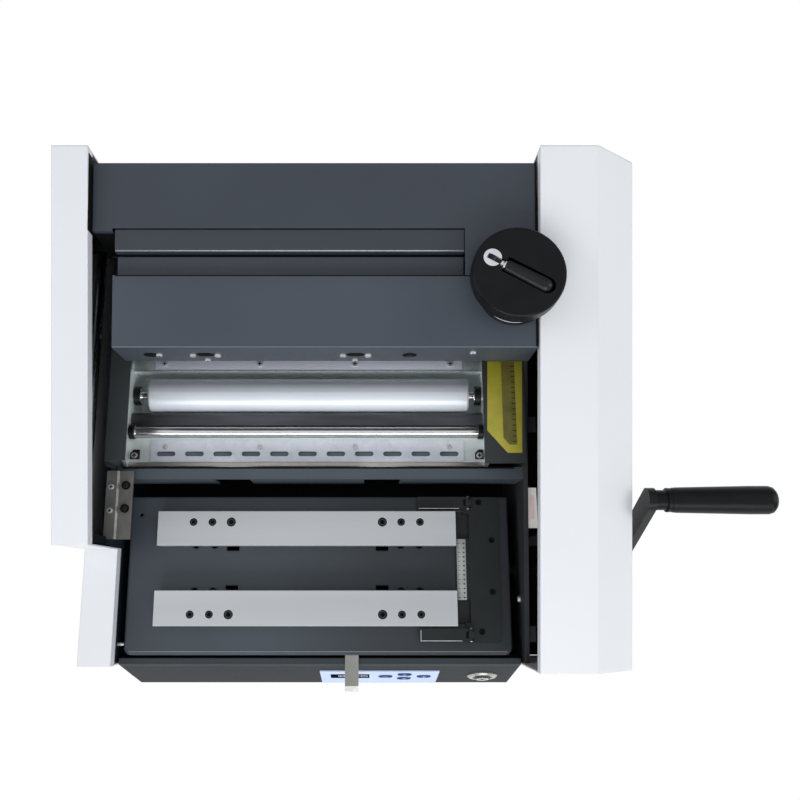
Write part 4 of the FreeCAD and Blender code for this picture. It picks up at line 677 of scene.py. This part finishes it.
# side guide screws and the plain plate in its recess
guidePlain = nodes["side_guide"].data.materials[0]
guideTrim = {"screws": ((194, -26.5), (194.5, 31), (181, -70), (181, 74)), "head": (6.6, 1.8, "hex"),
             "top": 130.0, "plate": (14.4, 123.2, 0.6), "platePlace": (161.8, 1.0, 123.9)}
mesh = bmesh.new()
for x, y in guideTrim["screws"]:
    add(mesh, screwHead(*guideTrim["head"]), facing(at(x, y, guideTrim["top"])), 0)
lay(mesh, guideTrim["plate"], at(*guideTrim["platePlace"]), 1)
settle("guide_screws", mesh, [holeBlack, guidePlain], "press_table")

# painted highlights as bright strips on the front edges of the guide's two fingers, and the pins that they
# fold on
finger = {"top": 134.4, "thick": 0.3, "edge": (46.0, 0.7), "edgeX": 135.0, "return": (0.7, 11.0),
          "returnX": 112.6, "pin": [(0, 0), (1.9, 0), (1.7, 0.5), (1.0, 0.8), (0, 0.9)], "pinX": 168.5,
          "pinZ": 133.6, "pinOff": 6.75}
for label in ("front", "rear"):
    low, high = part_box(label + "_clip")
    y = ((low.y + high.y) / 2 - bedY) * 1000
    edgeY = (low.y - bedY) * 1000 + 0.35
    mesh = bmesh.new()
    lay(mesh, (*finger["edge"], finger["thick"]), at(finger["edgeX"], edgeY, finger["top"]), 0, 0.08)
    if label == "front":
        lay(mesh, (*finger["return"], finger["thick"]),
            at(finger["returnX"], edgeY + 5.8, finger["top"]), 0, 0.08)
    for way in (-1, 1):
        place = at(finger["pinX"], y + way * finger["pinOff"], finger["pinZ"])
        add(mesh, turned(finger["pin"], 16), facing(place, (0, way, 0)))
    settle(label + "_finger_pins", mesh, [highlightSteel], label + "_finger")

# carriage: painted highlights as bright strips on the rear jaw's front edge and along the cover's fold, and
# painted shadow as a dark sheet on the face beside the step and a dark line along the cut-out
highlightAndShadeStrips = {"jaw": {"inset": 1.0, "size": (1.3, 0.3), "back": 0.7, "down": 4.55, "lean": 45, "soft": 0.1},
              "fold": {"size": (424.6, 1.1, 0.2), "in": 212.45, "back": 0.6, "z": 293.85},
              "stepShadow": {"size": (20.2, 0.3, 60.0), "in": 10.6, "back": 115.4, "z": 248.0},
              "cutShadow": {"size": (407.0, 1.0, 0.2), "x": -101.0, "back": 71.15, "z": 306.2}}
low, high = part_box("rear_jaw")
coverLow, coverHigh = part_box("carriage_cover")
mesh = bmesh.new()
jaw = highlightAndShadeStrips["jaw"]
place = Vector(((low.x + high.x) / 2, low.y + jaw["back"] / 1000, high.z - jaw["down"] / 1000))
lean = Matrix.Rotation(math.radians(jaw["lean"]), 4, "X")
add(mesh, bar((high.x - low.x) * 1000 - jaw["inset"], *jaw["size"], jaw["soft"]),
    Matrix.Translation(place) @ lean, 2)
fold, stepShadow, cutShadow = highlightAndShadeStrips["fold"], highlightAndShadeStrips["stepShadow"], highlightAndShadeStrips["cutShadow"]
foldX = coverHigh.x - fold["in"] / 1000
stepShadowX = coverLow.x + stepShadow["in"] / 1000
for strip, x, slant, slot in ((fold, foldX, shear, 0), (stepShadow, stepShadowX, Matrix.Identity(4), 1),
                              (cutShadow, cutShadow["x"] / 1000, shear, 1)):
    place = Vector((x, coverLow.y + strip["back"] / 1000, strip["z"] / 1000))
    add(mesh, bar(*strip["size"]), Matrix.Translation(place) @ slant, slot)
settle("carriage_edge_strips", mesh, [edgePaint, holeBlack, edgeBright], "carriage")

# painted shadow: a dark sheet on the inner face of the left cover, beside the carriage
coverShadow = {"size": (0.4, 76.0, 24.0), "out": 0.2, "front": 44.0, "down": 34.5}
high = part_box("left_upper_cover")[1]
mesh = bmesh.new()
place = high + Vector((coverShadow["out"], -coverShadow["front"], -coverShadow["down"])) / 1000
add(mesh, bar(*coverShadow["size"]), Matrix.Translation(place) @ shear)
settle("left_cover_shadow", mesh, [holeBlack], "base")

# strips that run across a node: a painted highlight along the front of the nipping table, and dark strips of
# painted shadow in the gap behind the front panel and along the rear edge of the cross beam
acrossStrips = {
    "table_rim_highlight": {"node": "press_tray", "side": 0, "inset": 12.0, "size": (1.4, 0.3), "soft": 0.1,
                   "shift": 0.0, "back": 3.9, "z": 127.0, "finish": edgePaint, "body": "press_table",
                   "slot": "steel"},
    "front_gap_shadow": {"node": "front_panel", "side": 1, "inset": 2.0, "size": (7.0, 1.5), "soft": 0.0,
                         "shift": 0.0, "back": -0.8, "down": 12.0, "finish": holeBlack, "body": "base",
                         "slot": "black_plastic"},
    "beam_gap_shadow": {"node": "cross_beam", "side": 1, "inset": 14.0, "size": (1.9, 0.3), "soft": 0.0,
                  "shift": -2.0, "back": -1.0, "down": 0.0, "finish": holeBlack, "body": "base",
                  "slot": "black_plastic"},
}
for name, strip in acrossStrips.items():
    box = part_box(strip["node"])
    low, high = box
    x = (low.x + high.x) / 2 + strip["shift"] / 1000
    y = box[strip["side"]].y + strip["back"] / 1000
    z = strip["z"] / 1000 if "z" in strip else high.z - strip["down"] / 1000
    mesh = bmesh.new()
    lay(mesh, ((high.x - low.x) * 1000 - strip["inset"], *strip["size"]), Vector((x, y, z)), 0, strip["soft"])
    settle(name, mesh, [strip["finish"]], strip["body"])

# sleeve between the lever arm and its grip
gripSleeve = {"out": 15.9, "steps": 36, "profile": [(6.6, 0), (9.9, 0), (10.3, 0.4), (10.3, 11.6),
                                                    (12.4, 12.2), (12.4, 15.4), (12.0, 15.8), (6.6, 15.8)]}
low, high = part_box("lever_grip")
mesh = bmesh.new()
place = Vector((low.x - gripSleeve["out"] / 1000, (low.y + high.y) / 2, (low.z + high.z) / 2))
add(mesh, turned(gripSleeve["profile"], gripSleeve["steps"], True), facing(place, (1, 0, 0)))
settle("lever_sleeve", mesh, [nodes["lever_grip"].data.materials[0]], "lever")

# nuts in the holes of the left bracket, each over a black disc of painted shade, and its two side screws with
# recesses of painted shade
bracketNut = {"x": -214.2, "ys": (63.5, 89.0), "disc": [(0, -2.2), (4.72, -2.2), (4.72, -1.6), (0, -1.6)],
              "radius": 3.6, "height": 2.2, "sink": 0.5, "soft": 0.4}
bracketScrew = {"x": -229.5, "ys": (61.0, 87.0), "head": (6.2, 1.6, "cross")}
bracketTop = topOf("left_bracket")
mesh = bmesh.new()
for y in bracketNut["ys"]:
    add(mesh, turned(bracketNut["disc"]), Matrix.Translation(at(bracketNut["x"], y, bracketTop)), 1)
    nut = bmesh.new()
    radius = bracketNut["radius"] / 1000
    bmesh.ops.create_cone(nut, cap_ends=True, segments=6, radius1=radius, radius2=radius,
                          depth=bracketNut["height"] / 1000)
    softened(nut, edgesAbove(nut, bracketNut["height"] / 2), bracketNut["soft"])
    add(mesh, nut, Matrix.Translation(at(bracketNut["x"], y, bracketTop - bracketNut["sink"])), 2)
for y in bracketScrew["ys"]:
    add(mesh, screwHead(*bracketScrew["head"]), facing(at(bracketScrew["x"], y, bracketTop)), 0, 1)
settle("bracket_screws", mesh, [screwZinc, holeBlack, blackSteel], "base")

# paper tag on the tab of the right wall, left bare; its emission is painted light that brightens it in the
# dark gap
tag = {"x": (232.6, 243.8), "y": (43.4, 88.6), "top": 151.5, "thick": 0.25,
       "patch": ((236.0, 241.4), (53.0, 80.0)), "patchThick": 0.05}
tagPaper = coat("tagPaper", {"pale": (0.86, 0.82, 0.79), "deep": (0.78, 0.73, 0.70), "rough": (0.5, 0.6),
                             "patch": 50.0, "paintedGlow": 0.28})
tagPink = coat("tagPink", {"pale": (0.80, 0.66, 0.64), "deep": (0.72, 0.56, 0.54), "rough": (0.5, 0.6),
                           "patch": 60.0, "paintedGlow": 0.28})
mesh = bmesh.new()
for slot, thick, z, (x0, x1), (y0, y1) in ((0, tag["thick"], tag["top"], tag["x"], tag["y"]),
                                           (1, tag["patchThick"], tag["top"] + tag["thick"], *tag["patch"])):
    lay(mesh, (x1 - x0, y1 - y0, thick), at((x0 + x1) / 2, (y0 + y1) / 2, z), slot)
settle("wall_tag", mesh, [tagPaper, tagPink], "base")

# pin at the left wall and a screw on the right one
wallFixing = {"pin": [(0, 0), (2.0, 0), (2.0, 7.2), (1.5, 8.0), (0, 8.0)], "pinPlace": (-227.5, -83.6, 118),
              "head": (7.0, 2.8, "cross"), "screwPlace": (227.5, -34.3, 114.3)}
mesh = bmesh.new()
add(mesh, turned(wallFixing["pin"], 20), facing(at(*wallFixing["pinPlace"]), (1, 0, 0)))
add(mesh, screwHead(*wallFixing["head"]), facing(at(*wallFixing["screwPlace"]), (-1, 0, 0)))
settle("wall_pin_and_screw", mesh, [screwZinc], "base")

# panel: digits of the display and plain signs on the keys, all lying on the leaning face
inward = next(joint for joint in frame["joints"] if joint["name"] == "left_key_press")["axis"]
out = -Vector(inward).normalized()
upward = Vector((0, -out.z, out.y))
upward = upward if upward.z > 0 else -upward
segments = {"width": 4.4, "height": 8.6, "stroke": 0.95, "thick": 0.08, "gap": 6.4,
            "groups": ((-15.4, "18"), (11.8, "05")),
            "lit": {"0": "abcdef", "1": "bc", "5": "acdfg", "8": "abcdefg"}}


# The place on a panel node that lies out from its middle, turned so that its own Y runs up the panel.
def onPanel(node, across=0.0, up=0.0):
    low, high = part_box(node)
    middle = (low + high) / 2
    reach = max(vert.co.dot(out) for vert in nodes[node].data.vertices)
    place = middle + out * (reach - middle.dot(out)) + Vector((across / 1000, 0, 0)) + upward * up / 1000
    return Matrix.Translation(place) @ Matrix((Vector((1, 0, 0)), upward, out)).transposed().to_4x4()


litGlass = coat("litGlass", {"pale": (0.62, 0.72, 0.80), "deep": (0.52, 0.62, 0.70), "rough": (0.3, 0.4)})
w, h, stroke = segments["width"], segments["height"], segments["stroke"]
strokes = {"a": (0, h / 2, w, stroke), "g": (0, 0, w, stroke), "d": (0, -h / 2, w, stroke),
           "b": (w / 2, h / 4, stroke, h / 2), "c": (w / 2, -h / 4, stroke, h / 2),
           "e": (-w / 2, -h / 4, stroke, h / 2), "f": (-w / 2, h / 4, stroke, h / 2)}
mesh = bmesh.new()
for x, digits in segments["groups"]:
    for i, digit in enumerate(digits):
        for name in segments["lit"][digit]:
            dx, dy, wide, tall = strokes[name]
            add(mesh, bar(wide, tall, segments["thick"]),
                onPanel("display_window", x + i * segments["gap"] + dx, dy))
settle("display_digits", mesh, [litGlass], "base")

signs = {"key_up": [((-2.6, -1.5), (2.6, -1.5), (0, 2.0))],
         "key_down": [((-2.6, 1.5), (0, -2.0), (2.6, 1.5))],
         "key_left": [((-3.2, -0.6), (3.2, -0.6), (3.2, 0.6), (-3.2, 0.6))],
         "key_right": [((-3.2, -0.6), (3.2, -0.6), (3.2, 0.6), (-3.2, 0.6)),
                       ((-0.6, -2.6), (0.6, -2.6), (0.6, 2.6), (-0.6, 2.6))]}
signThick, signStep = 0.08, 0.02
signWhite = coat("signWhite", {"pale": (0.60, 0.66, 0.76), "deep": (0.52, 0.58, 0.68), "rough": (0.4, 0.5)})
for node, outlines in signs.items():
    mesh = bmesh.new()
    for i, outline in enumerate(outlines):
        add(mesh, plate(outline, signThick + i * signStep), onPanel(node))
    side = node.split("_")[1]
    settle(side + "_key_sign", mesh, [signWhite], side + "_key")

# keyhole of the lock plug as a black bar of painted shade, and the plug's lip
lockFace = {"keyhole": (2.2, 9.0, 0.25), "lip": [(5.6, 0), (6.0, 0.35), (6.8, 0.35), (7.2, 0)], "steps": 40}
mesh = bmesh.new()
add(mesh, bar(*lockFace["keyhole"]), onPanel("switch_plug"), 0)
add(mesh, turned(lockFace["lip"], lockFace["steps"], True), onPanel("switch_plug"), 1)
settle("lock_face", mesh, [printAndShadeBlack, screwZinc], "lock_plug")

# screws of the rear panel and of the right casing
casingScrew = {"rearXs": (-205, -70, 70, 205), "rearZs": (24, 226), "rearHead": (7.0, 2.2, "cross"),
               "rightYs": (-70, 120, 330), "rightZ": 45, "rightHead": (7.0, 2.0, "cross")}
rearY = (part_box("rear_panel")[1].y - bedY) * 1000
rightX = (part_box("right_cover")[1].x - bedX) * 1000
mesh = bmesh.new()
for x in casingScrew["rearXs"]:
    for z in casingScrew["rearZs"]:
        add(mesh, screwHead(*casingScrew["rearHead"]), facing(at(x, rearY, z), (0, 1, 0)))
for y in casingScrew["rightYs"]:
    add(mesh, screwHead(*casingScrew["rightHead"]), facing(at(rightX, y, casingScrew["rightZ"]), (1, 0, 0)))
settle("casing_screws", mesh, [screwZinc], "base")
print("stage: pieces")


# Puts a lamp, the camera or the floor into the scene without making it a part of the machine.
def stagePiece(name, data):
    piece = bpy.data.objects.new(name, data)
    bpy.context.scene.collection.objects.link(piece)
    return piece


# floor: white to the camera and in reflections, and it keeps the machine's shadow
floorLook = {"size": 6.0, "grey": 0.8, "rough": 0.9, "white": 1.0}
floorShape = bmesh.new()
bmesh.ops.create_grid(floorShape, x_segments=1, y_segments=1, size=floorLook["size"])
floorMesh = bpy.data.meshes.new("floor")
floorShape.to_mesh(floorMesh)
floorShape.free()
stagePiece("floor", floorMesh)
floorPaper = bpy.data.materials.new("floorPaper")
floorPaper.use_nodes = True
tree = floorPaper.node_tree
diffuse = tree.nodes["Principled BSDF"]
diffuse.inputs["Base Color"].default_value = (*[floorLook["grey"]] * 3, 1)
diffuse.inputs["Roughness"].default_value = floorLook["rough"]
white = newNode(tree, "ShaderNodeEmission", Strength=floorLook["white"])
path = newNode(tree, "ShaderNodeLightPath")
mixer = newNode(tree, "ShaderNodeMixShader")
rays = path.outputs["Is Camera Ray"]
for kind in ("Is Glossy Ray", "Is Transmission Ray"):
    joined = newNode(tree, "ShaderNodeMath", operation="MAXIMUM")
    link(tree, rays, joined.inputs[0])
    link(tree, path.outputs[kind], joined.inputs[1])
    rays = joined.outputs[0]
link(tree, rays, mixer.inputs[0])
link(tree, diffuse.outputs[0], mixer.inputs[1])
link(tree, white.outputs[0], mixer.inputs[2])
link(tree, mixer.outputs[0], tree.nodes["Material Output"].inputs["Surface"])
floorMesh.materials.append(floorPaper)


# A rectangular lamp that looks at a target.
def panelLight(name, place, target, width, height, power, colour):
    data = bpy.data.lights.new(name, "AREA")
    data.shape = "RECTANGLE"
    data.size = width
    data.size_y = height
    data.energy = power
    data.color = colour
    piece = stagePiece(name, data)
    piece.location = place
    piece.rotation_euler = (Vector(target) - Vector(place)).to_track_quat("-Z", "Y").to_euler()
    return piece


# each lamp: its place, what it looks at, its width and height in metres, its power in watts and its colour
lightRig = {
    "overhead": ((0.0, 0.1, 2.4), (0, 0, 0), 3.6, 3.0, 12.0, (1.0, 1.0, 1.0)),
    "front": ((0.1, -2.2, 1.5), (0, 0.1, 0.2), 3.2, 1.2, 50.0, (1.0, 1.0, 1.0)),
    "rightFill": ((2.5, 0.2, 1.5), (0, 0, 0.2), 1.8, 1.4, 20.0, (0.95, 0.98, 1.0)),
    "leftFill": ((-2.3, 0.1, 1.5), (0, 0, 0.2), 1.6, 1.2, 15.0, (0.97, 0.99, 1.0)),
}
for name, values in lightRig.items():
    panelLight(name, *values)

skyLight = {"colour": (0.90, 0.95, 1.0), "strength": 0.40}
world = bpy.data.worlds.new("studio")
bpy.context.scene.world = world
world.use_nodes = True
sky = world.node_tree.nodes["Background"]
sky.inputs["Color"].default_value = (*skyLight["colour"], 1)
sky.inputs["Strength"].default_value = skyLight["strength"]

# the camera's tilt is in degrees from straight down
view = {"place": (-0.05425, -0.15635, 1.1), "tilt": 12.5, "lens": 37.8, "sensor": 36.0, "shift": 0.04375,
        "near": 0.05, "far": 50.0}
lens = bpy.data.cameras.new("camera")
lens.lens = view["lens"]
lens.sensor_width = view["sensor"]
lens.shift_x = view["shift"]
lens.clip_start = view["near"]
lens.clip_end = view["far"]
camera = stagePiece("camera", lens)
camera.location = view["place"]
camera.rotation_euler = (math.radians(view["tilt"]), 0, 0)
scene = bpy.context.scene
scene.camera = camera
scene.view_settings.view_transform = "Standard"
print("stage: studio")
